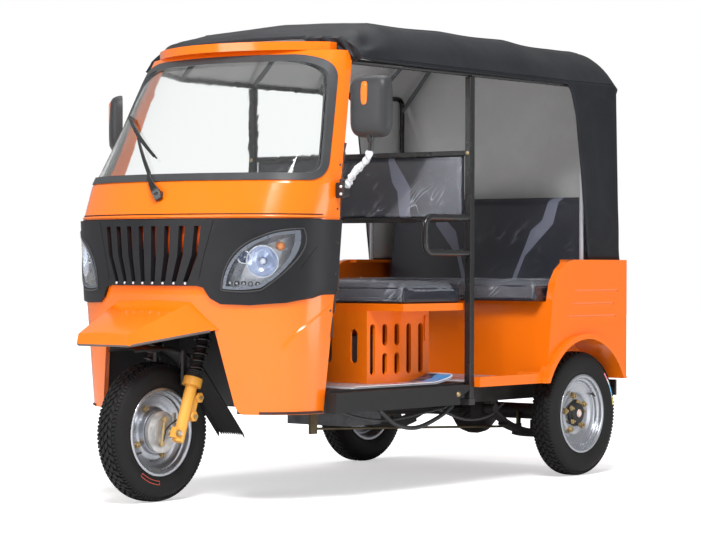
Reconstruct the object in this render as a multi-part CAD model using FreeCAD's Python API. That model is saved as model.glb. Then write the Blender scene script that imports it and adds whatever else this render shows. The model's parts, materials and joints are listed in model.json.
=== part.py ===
import FreeCAD, Part
import math
import os

# Auto rickshaw: a three-wheeled passenger carrier with a pressed steel cab and
# rear tub, a tubular roof frame and a cloth canopy. Millimetres, +Z up, the
# front faces -Y, +X is the vehicle's left. The origin is on the ground, under
# the middle of the vehicle's length and width.

V = FreeCAD.Vector

# ---------------------------------------------------------------- overall sizes
WHEELBASE = 2046.0
FRONT_OVERHANG = 277.0        # front axle to the tip of the front fender
REAR_OVERHANG = 366.0         # rear axle to the back of the bumper
TRACK = 1180.0
LENGTH = FRONT_OVERHANG + WHEELBASE + REAR_OVERHANG
FRONT_AXLE_Y = FRONT_OVERHANG - LENGTH / 2
REAR_AXLE_Y = FRONT_AXLE_Y + WHEELBASE
REAR_END_Y = LENGTH / 2

SEAT_GAP = 0.3                # between pieces that rest on each other's curves
RUN_GAP = 0.05                # radial, shaft in its bore
FAR = 4000.0                  # reach of cutting shapes beyond the vehicle

# ---------------------------------------------------------------- wheels
TYRE_R = 270.0
TYRE_WIDTH = 110.0
BEAD_R = 160.0
FLANGE_R = 172.0
RIM_WIDTH = 96.0
RIM_WALL = 10.0
AXLE_Z = TYRE_R
FRONT_AXLE_R = 8.0
REAR_STUB_R = 17.0
HUB_R = 45.0
DRUM_R = 85.0

# ---------------------------------------------------------------- steering
RAKE = 20.0                   # degrees, top of the axis leans back
AXIS_BACK = 47.0              # axis behind the front axle, at axle height
STEER_Y = FRONT_AXLE_Y + AXIS_BACK
LEG_X = 120.0
LEG_AHEAD = 21.0              # fork legs in front of the steering axis
LEG_R = 23.0
CUP_R = 37.5
CUP_TOP = 212.0               # spring seat, along the steering axis
CUP_HEIGHT = 32.0
SPRING_TURNS = 7
SPRING_R = 31.0
SPRING_CORE_R = 20.0
SPRING_WIRE_R = 8.0
STEM_R = 16.0
CROWN_Z = 445.0               # along the steering axis
CROWN_T = 25.0
HEAD_TUBE = (564.0, 777.0)    # along the steering axis
HEAD_TUBE_R = 30.0
BAR_Z = 838.0                 # handlebar, along the steering axis
BAR_HALF = 330.0
GRIP_LENGTH = 125.0
MUDGUARD_R = 325.0
MUDGUARD_HALF = 70.0
MUDGUARD_T = 4.0
MUDGUARD_NOSE = 95.0          # degrees, where the arc ends over the wheel
MUDGUARD_TIP = (-172.0, 322.0)   # its straight nose, from the axle
FLAP_BACK = 467.5             # mud flap's lower edge behind the front axle
FLAP_Z = 230.0

# ---------------------------------------------------------------- chassis
RAIL_X = 400.0
RAIL_WIDTH = 50.0
RAIL_TOP = 414.0
RAIL_HEIGHT = 80.0
CROSS_BOTTOM = 340.0
FLOOR_T = 18.0
FLOOR_TOP = RAIL_TOP + FLOOR_T
MAT_T = 8.0
SILL_IN = 560.0
SILL_OUT = 610.0
SILL_BOTTOM = 345.0
LINER_HALF = 350.0
LINER_BACK = FRONT_AXLE_Y + 527.0
LINER_TOP = 782.0
LINER_T = 12.0
HOOP_X = 390.0
HOOP_R = 20.0

# ---------------------------------------------------------------- cab
CAB_WALL = 22.0
BAND_PROUD = 12.0             # plastic band outside the painted nose
BAND_BACK = 10.0
LENS_T = 4.0
BOWL_DEPTH = 60.0
BAND_TOP = 1088.0
COWL_TOP = 1238.0             # lower edge of the windscreen opening
GLASS_TOP = 1738.0
GLASS_T = 5.0
SEAL_WIDTH = 28.0
CAB_TOP = 1755.0
VISOR_T = 33.0
VISOR_HALF = 455.0
DASH_Z = 1165.0
DASH_T = 25.0
DASH_BACK = FRONT_AXLE_Y + 225.0

# y from the front axle: nose of the section, centre of its corner arcs and
# the door edge where the section stops
CAB_SECTIONS = (
    # z, half width, nose, corner centre, corner radius, door edge
    (345.0, 550.0, 17.0, 340.0, 250.0, 366.0),
    (800.0, 585.0, -18.0, 342.0, 280.0, 392.0),
    (1090.0, 600.0, -23.0, 347.0, 300.0, 404.0),
    (1225.0, 600.0, 37.0, 387.0, 280.0, 412.0),
    (1755.0, 510.0, 367.0, 585.0, 100.0, 592.0),
)

# Lower edge of the plastic band, seen from the front
BAND_EDGE = (
    # x, z
    (700.0, 818.0),
    (597.0, 818.0),
    (575.0, 788.0),
    (528.0, 771.0),
    (426.0, 762.0),
    (320.0, 765.0),
    (280.0, 787.0),
    (254.0, 827.0),
    (229.0, 834.0),
)

# Opening of the nose for the front wheel, seen from the front
WHEEL_OPENING = (
    # half width, z
    (440.0, 300.0),
    (400.0, 338.0),
    (373.0, 344.0),
    (356.0, 358.0),
    (346.0, 378.0),
    (338.0, 416.0),
    (283.0, 672.0),
)

# Sections of the front fender across the vehicle, y from the front axle
FENDER_SECTIONS = (
    # y, lower half width, lower z, shoulder half width, shoulder z, crown z
    (60.0, 310.0, 672.0, 205.0, 795.0, 812.0),
    (-FRONT_OVERHANG, 138.0, 610.0, 128.0, 651.0, 658.0),
)
FENDER_T = 14.0

# ---------------------------------------------------------------- body and roof
POST_Y = FRONT_AXLE_Y + 1267.0
POST_R = 15.0
RAIL_R = 11.0
BOW_R = 9.5
BACK_BARS = (1100.0, 1380.0)
BACK_BAR_R = 14.0
HANDLE_REACH = 306.0
HANDLE_Z = (965.0, 1110.0)
HANDLE_R = 13.0

SEAT_BOX_HALF = 400.0
SEAT_BOX_FRONT = POST_Y - 440.0
SEAT_BOX_BACK = POST_Y - 25.0
SEAT_BOX_TOP = 730.0
SEAT_BOX_WALL = 12.0
SEAT_SLOT_PITCH = 80.4
SEAT_SLOT_HALF = 16.5
SEAT_SLOTS = (
    # low end, solid bridge halfway, high end
    (469.0, 0.0, 676.0),
    (469.0, 30.0, 676.0),
    (469.0, 30.0, 676.0),
    (469.0, 0.0, 676.0),
    (469.0, 0.0, 676.0),
)
SEAT_FRONT_SLOTS = (66.0, 199.0, 332.0)
PLATFORM_T = 30.0
PLATFORM_HALF = 572.0
PLATFORM_FRONT = POST_Y - 425.0
CUSHION_T = 84.0

TUB_HALF = TRACK / 2 + 50
TUB_WALL = 35.0
TUB_SHEET = 20.0
TUB_TOP = 940.0
TUB_BACK = REAR_END_Y - 14.5
TUB_FRONT = REAR_AXLE_Y - 285.0
TUB_SHOULDER = REAR_AXLE_Y - 239.0
TUB_SHOULDER_Z = 770.0
TUB_RIM_Y = REAR_AXLE_Y - 74.0
DECK_TOP = 760.0
TUB_LINES = (
    # pressed lines of the side wall: front end, rear end, height
    (REAR_AXLE_Y - 66.0, REAR_AXLE_Y + 280.0, 803.0),
    (REAR_AXLE_Y - 82.0, REAR_AXLE_Y + 248.0, 747.0),
    (REAR_AXLE_Y - 121.0, REAR_AXLE_Y + 264.0, 692.0),
)
ARCH_R = 325.0
ARCH_LIP = 24.0
ARCH_LIP_OUT = 25.0
HOUSING_X = TRACK / 2 - 90
FLANGE_IN = TUB_HALF - TUB_WALL - 40
POST_X = TUB_HALF - 50

PLATE_HOLE_PITCH = 200.0
PLATE_HOLE_R = 3.5
PLATE_HOLE_Z = RAIL_TOP + 86.0

CANOPY_T = 8.0
CANOPY_QUARTER_HALF = 618.0
CANOPY_SECTIONS = (
    # y, eave half width, shoulder half width, shoulder z, crown z, eave z
    (FRONT_AXLE_Y + 567.0, 582.0, 462.0, 1804.0, 1816.0, 1715.0),
    (FRONT_AXLE_Y + 782.0, 612.0, 450.0, 1880.0, 1900.0, 1715.0),
    (REAR_AXLE_Y - 319.0, 616.0, 455.0, 1885.0, 1910.0, 1715.0),
    (REAR_AXLE_Y + 96.0, 616.0, 450.0, 1868.0, 1893.0, 1715.0),
    (REAR_AXLE_Y + 328.0, 612.0, 440.0, 1866.0, 1893.0, 1712.0),
)

# Front edge of the canopy's rear quarter, above the tub
CANOPY_QUARTER = (
    # y, z
    (REAR_AXLE_Y + 12.0, 1288.0),
    (REAR_AXLE_Y - 20.0, 1570.0),
    (REAR_AXLE_Y - 52.0, 1669.0),
    (REAR_AXLE_Y - 90.0, 1711.0),
)
CANOPY_QUARTER_FOOT = REAR_AXLE_Y + 42.0

MIRROR_X = 750.0
MIRROR_SIZE = (155.0, 60.0, 240.0)
MIRRORS = (
    # side, y from the front axle, height, turn
    (1, 417.0, 1520.0, 0.0),
    (-1, 561.0, 1507.0, -42.0),
)


# ---------------------------------------------------------------- shape helpers
def box(x0, x1, y0, y1, z0, z1):
    return Part.makeBox(x1 - x0, y1 - y0, z1 - z0, V(x0, y0, z0))


def rod(start, end, radius):
    start = V(*start)
    end = V(*end)
    run = end - start
    return Part.makeCylinder(radius, run.Length, start, run)


def fuse(shapes):
    return shapes[0].multiFuse(shapes[1:]).removeSplitter()


def bent_tube(points, radius, bend=3.0):
    """Round bar along straight runs, with arcs of bend times its radius."""
    points = [V(*p) for p in points]
    edges = []
    start = points[0]
    for before, corner, after in zip(points, points[1:], points[2:]):
        inward = (corner - before).normalize()
        outward = (after - corner).normalize()
        turn = inward.getAngle(outward)
        room = 0.45 * min((corner - before).Length, (after - corner).Length)
        cut = min(bend * radius * math.tan(turn / 2), room)
        leave = corner - inward * cut
        join = corner + outward * cut
        toward = (outward - inward).normalize()
        arc_r = cut / math.tan(turn / 2)
        middle = corner + toward * (arc_r / math.cos(turn / 2) - arc_r)
        edges.append(Part.LineSegment(start, leave).toShape())
        edges.append(Part.Arc(leave, middle, join).toShape())
        start = join
    edges.append(Part.LineSegment(start, points[-1]).toShape())
    end = Part.Wire(Part.Circle(points[0], points[1] - points[0], radius).toShape())
    return Part.Wire(edges).makePipe(Part.Face(end))


def mirrored(shape):
    return shape.mirror(V(0, 0, 0), V(1, 0, 0))


def both(shape):
    """The piece and its mirror image on the other side, apart."""
    return Part.makeCompound([shape, mirrored(shape)])


def spun(profile):
    """Solid of revolution about X from (x, radius) points."""
    points = [V(x, 0, r) for x, r in profile]
    face = Part.Face(Part.makePolygon(points + points[:1]))
    return face.revolve(V(0, 0, 0), V(1, 0, 0), 360)


def prism_y(outline, y0, y1):
    """Outline of (x, z) points carried along Y."""
    points = [V(x, y0, z) for x, z in outline]
    return Part.Face(Part.makePolygon(points + points[:1])).extrude(V(0, y1 - y0, 0))


def prism_x(outline, x0, x1):
    """Outline of (y, z) points carried along X."""
    points = [V(x0, y, z) for y, z in outline]
    return Part.Face(Part.makePolygon(points + points[:1])).extrude(V(x1 - x0, 0, 0))


def symmetric(half_outline):
    """Closed front outline from (x, z) points of its left half."""
    return list(half_outline) + [(-x, z) for x, z in reversed(half_outline)]


def save(name, shape):
    os.makedirs("parts", exist_ok=True)
    shape.exportStep("parts/" + name + ".step")
    print(name, "solids", len(shape.Solids), "volume %.0f" % shape.Volume, shape.isValid())


# ---------------------------------------------------------------- cab geometry
def cab_section(z):
    """Section sizes at a height, between the rows of CAB_SECTIONS."""
    for low, high in zip(CAB_SECTIONS, CAB_SECTIONS[1:]):
        if z <= high[0]:
            break
    share = (z - low[0]) / (high[0] - low[0])
    return [a + (b - a) * share for a, b in zip(low, high)]


def cab_wire(section, offset, back):
    """Plan outline of the cab: flat sides, corner arcs and one front arc."""
    z, half, nose, corner_y, corner_r, edge = section
    half += offset
    corner_r += offset
    nose += FRONT_AXLE_Y - offset
    corner_y += FRONT_AXLE_Y
    edge += FRONT_AXLE_Y + back
    inset = half - corner_r
    depth = corner_y - nose
    front_r = (inset ** 2 + depth ** 2 - corner_r ** 2) / (2 * (depth - corner_r))
    front_y = nose + front_r
    reach = math.hypot(inset, corner_y - front_y)
    toward = ((inset / reach), (corner_y - front_y) / reach)
    turn = math.atan2(toward[1], toward[0]) / 2
    join = (inset + toward[0] * corner_r, corner_y + toward[1] * corner_r)
    middle = (inset + math.cos(turn) * corner_r, corner_y + math.sin(turn) * corner_r)

    def at(point, side):
        return V(side * point[0], point[1], z)

    edges = [
        Part.LineSegment(at((half, edge), 1), at((half, corner_y), 1)).toShape(),
        Part.Arc(at((half, corner_y), 1), at(middle, 1), at(join, 1)).toShape(),
        Part.Arc(at(join, 1), V(0, nose, z), at(join, -1)).toShape(),
        Part.Arc(at(join, -1), at(middle, -1), at((half, corner_y), -1)).toShape(),
        Part.LineSegment(at((half, corner_y), -1), at((half, edge), -1)).toShape(),
        Part.LineSegment(at((half, edge), -1), at((half, edge), 1)).toShape(),
    ]
    return Part.Wire(edges)


def cab_solid(offset, z0, z1, back=0.0):
    """The cab's volume between two heights, grown by offset."""
    lofts = []
    for low, high in zip(CAB_SECTIONS, CAB_SECTIONS[1:]):
        if low[0] < z1 and high[0] > z0:
            wires = [cab_wire(low, offset, back), cab_wire(high, offset, back)]
            lofts.append(Part.makeLoft(wires, True, True))
    whole = lofts[0] if len(lofts) == 1 else lofts[0].multiFuse(lofts[1:])
    return whole.common(box(-FAR, FAR, -FAR, FAR, z0, z1))


def cab_shell(outer, inner, z0, z1):
    hollow = cab_solid(inner, z0, z1, back=FAR / 40)
    return cab_solid(outer, z0, z1).cut(hollow)


def cab_front_y(x, z, offset=0.0):
    """Y of the cab's front surface at a point seen from the front."""
    _, half, nose, corner_y, corner_r, _ = cab_section(z)
    half += offset
    corner_r += offset
    nose += FRONT_AXLE_Y - offset
    corner_y += FRONT_AXLE_Y
    inset = half - corner_r
    depth = corner_y - nose
    front_r = (inset ** 2 + depth ** 2 - corner_r ** 2) / (2 * (depth - corner_r))
    join_x = inset * front_r / (front_r - corner_r)
    if abs(x) < join_x:
        return nose + front_r - math.sqrt(front_r ** 2 - x ** 2)
    return corner_y - math.sqrt(corner_r ** 2 - (abs(x) - inset) ** 2)


def door_edge_y(z):
    return FRONT_AXLE_Y + cab_section(z)[5]


# ---------------------------------------------------------------- steering frame
def steered(shape):
    """Place a shape made about an upright steering axis through the origin."""
    shape.rotate(V(0, 0, 0), V(1, 0, 0), -RAKE)
    shape.translate(V(0, STEER_Y, AXLE_Z))
    return shape


def on_axis(along, ahead=0.0):
    """Y and Z of a point at a distance along the steering axis."""
    rake = math.radians(RAKE)
    y = STEER_Y + along * math.sin(rake) - ahead * math.cos(rake)
    z = AXLE_Z + along * math.cos(rake) + ahead * math.sin(rake)
    return y, z


AXLE_LOCAL_Y = -AXIS_BACK * math.cos(math.radians(RAKE))
AXLE_LOCAL_Z = -AXIS_BACK * math.sin(math.radians(RAKE))


# ---------------------------------------------------------------- wheels
def tyre():
    half = TYRE_WIDTH / 2
    seat = RIM_WIDTH / 2 - 5 - SEAT_GAP
    side = [
        (seat, BEAD_R + SEAT_GAP),
        (seat, FLANGE_R + 2),
        (half - 3, FLANGE_R + 14),
        (half, FLANGE_R + 43),
        (half - 2, TYRE_R - 32),
        (half - 8, TYRE_R - 12),
        (half - 22, TYRE_R - 2),
        (half - 40, TYRE_R),
    ]
    return spun(side + [(-x, r) for x, r in reversed(side)])


def rim(face):
    """Rolled rim with its disc and hub; face lists the hub side and back."""
    half = RIM_WIDTH / 2
    lip = half - 5
    inner = BEAD_R - RIM_WALL
    outer_chain, inner_chain = face(inner)
    barrel = [
        (lip, inner), (half, inner + 5), (half, FLANGE_R), (lip, FLANGE_R), (lip, BEAD_R),
        (-lip, BEAD_R), (-lip, FLANGE_R), (-half, FLANGE_R), (-half, inner + 5), (-lip, inner),
    ]
    return spun(outer_chain + barrel + inner_chain)


def rear_face(inner):
    bore = REAR_STUB_R + RUN_GAP
    outside = [(22, bore), (22, HUB_R), (0, HUB_R), (0, 135), (14, 140), (14, inner)]
    inside = [(5, inner), (5, 142), (-8, 137), (-8, HUB_R), (-30, HUB_R), (-30, bore)]
    return outside, inside


def front_face(inner):
    bore = FRONT_AXLE_R + RUN_GAP
    outside = [(28, bore), (28, DRUM_R), (2, DRUM_R), (2, 128), (10, 134), (10, inner)]
    inside = [(2, inner), (2, 136), (-6, 130), (-6, DRUM_R), (-30, DRUM_R - 6), (-30, 22),
              (-42, 22), (-42, bore)]
    return outside, inside


def wheel_parts():
    front_rim = rim(front_face)
    front_tyre = tyre()
    for shape in (front_rim, front_tyre):
        shape.translate(V(0, FRONT_AXLE_Y, AXLE_Z))
    save("front_rim", front_rim)
    save("front_tyre", front_tyre)
    for name, side in (("rear_left", 1), ("rear_right", -1)):
        rear_rim = rim(rear_face)
        rear_tyre = tyre()
        for shape, label in ((rear_rim, "_rim"), (rear_tyre, "_tyre")):
            if side < 0:
                shape = mirrored(shape)
            shape.translate(V(side * TRACK / 2, REAR_AXLE_Y, AXLE_Z))
            save(name + label, shape)


# ---------------------------------------------------------------- fork and bar
def fork_parts():
    leg_y = -LEG_AHEAD

    # Lower legs: round body, spring cup on top and the axle lug at the foot
    lug = box(LEG_X - 12, LEG_X + 12, AXLE_LOCAL_Y - 16, leg_y, AXLE_LOCAL_Z - 20,
              AXLE_LOCAL_Z + 20)
    bore = rod((0, AXLE_LOCAL_Y, AXLE_LOCAL_Z), (FAR, AXLE_LOCAL_Y, AXLE_LOCAL_Z),
               FRONT_AXLE_R + RUN_GAP)
    leg = fuse([
        rod((LEG_X, leg_y, -45), (LEG_X, leg_y, CUP_TOP - CUP_HEIGHT), LEG_R),
        rod((LEG_X, leg_y, CUP_TOP - CUP_HEIGHT), (LEG_X, leg_y, CUP_TOP), CUP_R),
        lug,
        box(LEG_X - 8, LEG_X + 8, leg_y, leg_y + LEG_R + 26, 62, 148),
    ]).cut(bore)
    save("fork_lower_legs", steered(both(leg)))

    # Springs: turns of wire round the inner tube, between cup and crown
    foot = CUP_TOP + SEAT_GAP
    head = CROWN_Z - SEAT_GAP
    pitch = (head - foot) / SPRING_TURNS
    wave = [(foot, 0), (foot, SPRING_CORE_R)]
    for index in range(SPRING_TURNS):
        middle = foot + (index + 0.5) * pitch
        wave += [(middle - SPRING_WIRE_R, SPRING_CORE_R),
                 (middle - 0.5 * SPRING_WIRE_R, SPRING_R), (middle + 0.5 * SPRING_WIRE_R, SPRING_R),
                 (middle + SPRING_WIRE_R, SPRING_CORE_R)]
    wave += [(head, SPRING_CORE_R), (head, 0)]
    spring = spun(wave)
    spring.rotate(V(0, 0, 0), V(0, 1, 0), -90)
    spring.translate(V(LEG_X, leg_y, 0))
    save("fork_springs", steered(both(spring)))

    # Crown with the stem that turns in the head tube
    crown = fuse([
        rod((LEG_X, leg_y, CROWN_Z), (LEG_X, leg_y, CROWN_Z + CROWN_T), CUP_R),
        rod((-LEG_X, leg_y, CROWN_Z), (-LEG_X, leg_y, CROWN_Z + CROWN_T), CUP_R),
        box(-LEG_X, LEG_X, leg_y - 28, 28, CROWN_Z, CROWN_Z + CROWN_T),
        rod((0, 0, CROWN_Z), (0, 0, BAR_Z - 30), STEM_R),
        rod((0, 0, CROWN_Z + CROWN_T), (0, 0, HEAD_TUBE[0] - 5), HEAD_TUBE_R - 5),
    ])
    save("fork_crown", steered(crown))

    # Handlebar on a clamp at the stem's top
    bend = [(BAR_HALF, 46, BAR_Z + 6), (190, 40, BAR_Z + 6), (90, 12, BAR_Z)]
    route = bend + [(-x, y, z) for x, y, z in reversed(bend)]
    clamp = box(-45, 45, -26, 40, BAR_Z - 30 + SEAT_GAP, BAR_Z + 26)
    bar = fuse([bent_tube(route, 11), clamp])
    save("handlebar", steered(bar))
    start = BAR_HALF - GRIP_LENGTH
    y0 = 40 + 6 * (start - 190) / (BAR_HALF - 190)
    grip = rod((start, y0, BAR_Z + 6), (BAR_HALF + 4, 46.2, BAR_Z + 6), 17)
    grip = grip.cut(rod((150, 38.3, BAR_Z + 6), (BAR_HALF, 46, BAR_Z + 6), 11 + SEAT_GAP))
    save("handlebar_grips", steered(both(grip)))

    # Front axle with its spacers, the brake's backing plate and lever
    y = FRONT_AXLE_Y
    z = AXLE_Z
    plate = DRUM_R - 5
    cam_y = y + 37
    axle = fuse([
        rod((-LEG_X - 28, y, z), (LEG_X + 28, y, z), FRONT_AXLE_R),
        rod((33, y, z), (LEG_X - LEG_R - SEAT_GAP, y, z), 15),
        rod((-LEG_X + LEG_R + SEAT_GAP, y, z), (-47, y, z), 15),
        rod((33, y, z), (50, y, z), plate),
        rod((50, y, z), (68, y, z), plate - 19),
        box(74, 82, cam_y - 7, cam_y + 7, z - 20, z + 74),
        rod((50, cam_y, z + 20), (84, cam_y, z + 20), 9),
    ])
    save("front_axle", axle)

    # Mudguard: one strip round the wheel, straight down to the flap behind
    reach = math.hypot(FLAP_BACK, FLAP_Z - AXLE_Z)
    leave = math.acos(MUDGUARD_R / reach) + math.atan2(FLAP_Z - AXLE_Z, FLAP_BACK)
    nose_turn = math.radians(MUDGUARD_NOSE)

    def around(angle, radius):
        return V(0, y + radius * math.cos(angle), z + radius * math.sin(angle))

    def strip(radius):
        low = V(0, y + FLAP_BACK, FLAP_Z) + V(0, math.cos(leave), math.sin(leave)) * (
            radius - MUDGUARD_R)
        mid = (nose_turn + leave) / 2
        tip = V(0, y + MUDGUARD_TIP[0], z + MUDGUARD_TIP[1] + radius - MUDGUARD_R)
        arc = Part.Arc(around(nose_turn, radius), around(mid, radius), around(leave, radius))
        return arc, tip, around(nose_turn, radius), around(leave, radius), low

    inner_arc, inner_tip, inner_a, inner_b, inner_c = strip(MUDGUARD_R)
    outer_arc, outer_tip, outer_a, outer_b, outer_c = strip(MUDGUARD_R + MUDGUARD_T)
    wire = Part.Wire([
        Part.LineSegment(inner_tip, inner_a).toShape(),
        inner_arc.toShape(),
        Part.LineSegment(inner_b, inner_c).toShape(),
        Part.LineSegment(inner_c, outer_c).toShape(),
        Part.LineSegment(outer_c, outer_b).toShape(),
        outer_arc.toShape(),
        Part.LineSegment(outer_a, outer_tip).toShape(),
        Part.LineSegment(outer_tip, inner_tip).toShape(),
    ])
    guard = Part.Face(wire)
    guard.translate(V(-MUDGUARD_HALF, 0, 0))
    guard = guard.extrude(V(2 * MUDGUARD_HALF, 0, 0))

    # Stays from the mudguard's edges to the spring cups
    cup_y, cup_z = on_axis(CUP_TOP - CUP_HEIGHT / 2, LEG_AHEAD)
    stays = []
    for side in (1, -1):
        plate_x = sorted((side * MUDGUARD_HALF, side * (MUDGUARD_HALF + 4)))
        foot_x = sorted((side * MUDGUARD_HALF, side * (LEG_X - CUP_R - SEAT_GAP)))
        stays.append(box(plate_x[0], plate_x[1], cup_y - 14, cup_y + 14, cup_z - 14,
                         AXLE_Z + MUDGUARD_R - 12))
        stays.append(box(foot_x[0], foot_x[1], cup_y - 6, cup_y + 6, cup_z - 10, cup_z + 10))
    save("wheel_mudguard", fuse([guard] + stays))


# ---------------------------------------------------------------- chassis
def hoop_posts(grow=0.0):
    top_y, top_z = on_axis(630)
    top_y += HEAD_TUBE_R
    route = [(HOOP_X, LINER_BACK - 10, RAIL_TOP - 30), (HOOP_X, top_y, top_z)]
    return rod(route[0], route[1], HOOP_R + grow), (top_y, top_z)


def wheel_drums(grow=0.0):
    """Outer volume of the tub's housings over the rear wheels."""
    start = HOUSING_X - 12 - grow
    run = TUB_HALF - TUB_WALL + 1 + grow - start
    drum = Part.makeCylinder(ARCH_R + 12 + grow, run, V(start, REAR_AXLE_Y, AXLE_Z), V(1, 0, 0))
    return both(drum)


def chassis_parts():
    front = door_edge_y(FLOOR_TOP) + SEAT_GAP
    back = TUB_BACK
    bottom = RAIL_TOP - RAIL_HEIGHT
    rail = box(RAIL_X - RAIL_WIDTH / 2, RAIL_X + RAIL_WIDTH / 2, front, back, bottom, RAIL_TOP)
    cross_half = RAIL_X - RAIL_WIDTH / 2
    crosses = [
        box(-cross_half, cross_half, LINER_BACK + SEAT_GAP, LINER_BACK + 40, CROSS_BOTTOM,
            RAIL_TOP),
        box(-cross_half, cross_half, POST_Y - 20, POST_Y + 20, CROSS_BOTTOM, RAIL_TOP),
        box(-cross_half, cross_half, TUB_FRONT - 70, TUB_FRONT - 30, CROSS_BOTTOM, RAIL_TOP),
        box(-cross_half, cross_half, TUB_BACK - 60, TUB_BACK - 20, CROSS_BOTTOM, RAIL_TOP),
    ]
    outrigger = box(-POST_X - POST_R, POST_X + POST_R, POST_Y - 20, POST_Y + 20,
                    CROSS_BOTTOM, CROSS_BOTTOM + 25)
    hangers = []
    for eye_y in (SPRING_FRONT_Y, SPRING_BACK_Y):
        for side in (1, -1):
            x = sorted((side * (SPRING_X - 25), side * (SPRING_X + 15)))
            hangers.append(box(x[0], x[1], eye_y - 18, eye_y + 18, SPRING_EYE_Z + 20 + SEAT_GAP,
                               bottom))
    post, top = hoop_posts()
    crossbar = rod((-HOOP_X, top[0], top[1]), (HOOP_X, top[0], top[1]), HOOP_R)
    corners = [Part.makeSphere(HOOP_R, V(side * HOOP_X, top[0], top[1])) for side in (1, -1)]
    head = steered(rod((0, 0, HEAD_TUBE[0]), (0, 0, HEAD_TUBE[1]), HEAD_TUBE_R))
    bore = steered(rod((0, 0, 0), (0, 0, FAR / 4), STEM_R + RUN_GAP))
    frame = fuse([rail, mirrored(rail), outrigger, post, mirrored(post), crossbar, head]
                 + crosses + hangers + corners)
    save("chassis_frame", frame.cut(bore))

    # Floor: one sheet with the sills, round the wheel well and the engine
    floor = box(-SILL_OUT + 35, SILL_OUT - 35, front, TUB_FRONT - SEAT_GAP, RAIL_TOP, FLOOR_TOP)
    toe = cab_solid(-CAB_WALL - SEAT_GAP, RAIL_TOP, FLOOR_TOP, back=FAR / 40)
    toe = toe.common(box(-FAR, FAR, -FAR, front + 1, RAIL_TOP, FLOOR_TOP))
    sill = box(SILL_IN, SILL_OUT, front, POST_Y - 90, SILL_BOTTOM, RAIL_TOP + 10)
    sill_end = prism_x([(POST_Y - 90, SILL_BOTTOM + 30), (POST_Y - 90, RAIL_TOP + 10),
                        (POST_Y - 20 - SEAT_GAP, RAIL_TOP + 10),
                        (POST_Y - 20 - SEAT_GAP, RAIL_TOP - 10)], SILL_IN, SILL_OUT)
    well = LINER_HALF + SEAT_GAP
    pan = fuse([floor, toe, sill, mirrored(sill), sill_end, mirrored(sill_end)])
    pan = pan.cut(box(-well, well, -FAR, LINER_BACK + SEAT_GAP, 0, FAR))
    hole = ENGINE_HALF + 25
    pan = pan.cut(box(-hole, hole, SEAT_BOX_FRONT + 25, SEAT_BOX_BACK - 14, 0, FAR))
    post_hole, _ = hoop_posts(SEAT_GAP)
    pan = pan.cut(post_hole).cut(mirrored(post_hole))
    post_room = box(POST_X - POST_R - 2, FAR, POST_Y - POST_R - 5, POST_Y + POST_R + 5,
                    CROSS_BOTTOM, FAR)
    pan = pan.cut(post_room).cut(mirrored(post_room))
    drums = wheel_drums(SEAT_GAP)
    save("floor_pan", pan.cut(drums))

    front_mat = box(-SILL_IN, SILL_IN, LINER_BACK + 5, SEAT_BOX_FRONT - 5, FLOOR_TOP,
                    FLOOR_TOP + MAT_T)
    front_mat = front_mat.cut(post_hole).cut(mirrored(post_hole))
    rear_mat = box(-SILL_IN, SILL_IN, POST_Y + 40, TUB_FRONT - 5, FLOOR_TOP, FLOOR_TOP + MAT_T)
    save("floor_mats", Part.makeCompound([front_mat, rear_mat.cut(drums)]))

    # Wheel well between the driver's feet, open below and at the front
    outside = box(-LINER_HALF, LINER_HALF, FRONT_AXLE_Y - 200, LINER_BACK, SILL_BOTTOM,
                  LINER_TOP)
    inside = box(-LINER_HALF + LINER_T, LINER_HALF - LINER_T, -FAR, LINER_BACK - LINER_T,
                 0, LINER_TOP - LINER_T)
    inner_cab = cab_solid(-CAB_WALL - SEAT_GAP, SILL_BOTTOM, LINER_TOP, back=FAR / 10)
    stem_hole = steered(rod((0, 0, 300), (0, 0, 700), 2 * STEM_R + 2))
    well_shape = outside.cut(inside).common(inner_cab).cut(stem_hole)
    save("wheel_well_liner", well_shape)


# ---------------------------------------------------------------- cab pieces
def above_band_edge(grow=0.0):
    low = [(x, z - grow) for x, z in BAND_EDGE]
    outline = symmetric([(BAND_EDGE[0][0], FAR)] + low)
    return prism_y(outline, -FAR, 0)


def headlight_outline(grow=0.0):
    """Leaf-shaped lamp outline on the left side, carried along Y."""
    y = -FAR

    def at(x, z):
        return V(x, y, z)

    wire = Part.Wire([
        Part.Arc(at(332, 824), at(372, 938), at(470, 1014)).toShape(),
        Part.Arc(at(470, 1014), at(520, 1036), at(573, 1046)).toShape(),
        Part.Arc(at(573, 1046), at(556, 938), at(465, 828)).toShape(),
        Part.Arc(at(465, 828), at(400, 820), at(332, 824)).toShape(),
    ])
    if grow:
        wire = wire.makeOffset2D(grow)
    return Part.Face(wire).extrude(V(0, FAR - 300, 0))


def grille_slots():
    """Slots between the upright bars, narrower at the foot."""
    slots = []
    count = 8
    top_z = 1062.0
    low_z = 850.0
    knee_z = 948.0
    top_half = 268.0
    knee_half = 252.0
    low_half = 205.0
    bar_share = 0.3           # half a bar's width, of the pitch
    for index in range(count):
        left = -1 + 2 * (index + bar_share) / count
        right = -1 + 2 * (index + 1 - bar_share) / count
        outline = [
            (left * top_half, top_z), (right * top_half, top_z), (right * knee_half, knee_z),
            (right * low_half, low_z), (left * low_half, low_z), (left * knee_half, knee_z),
        ]
        slots.append(prism_y(outline, -FAR, FRONT_AXLE_Y + 200))
    return slots


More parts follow.
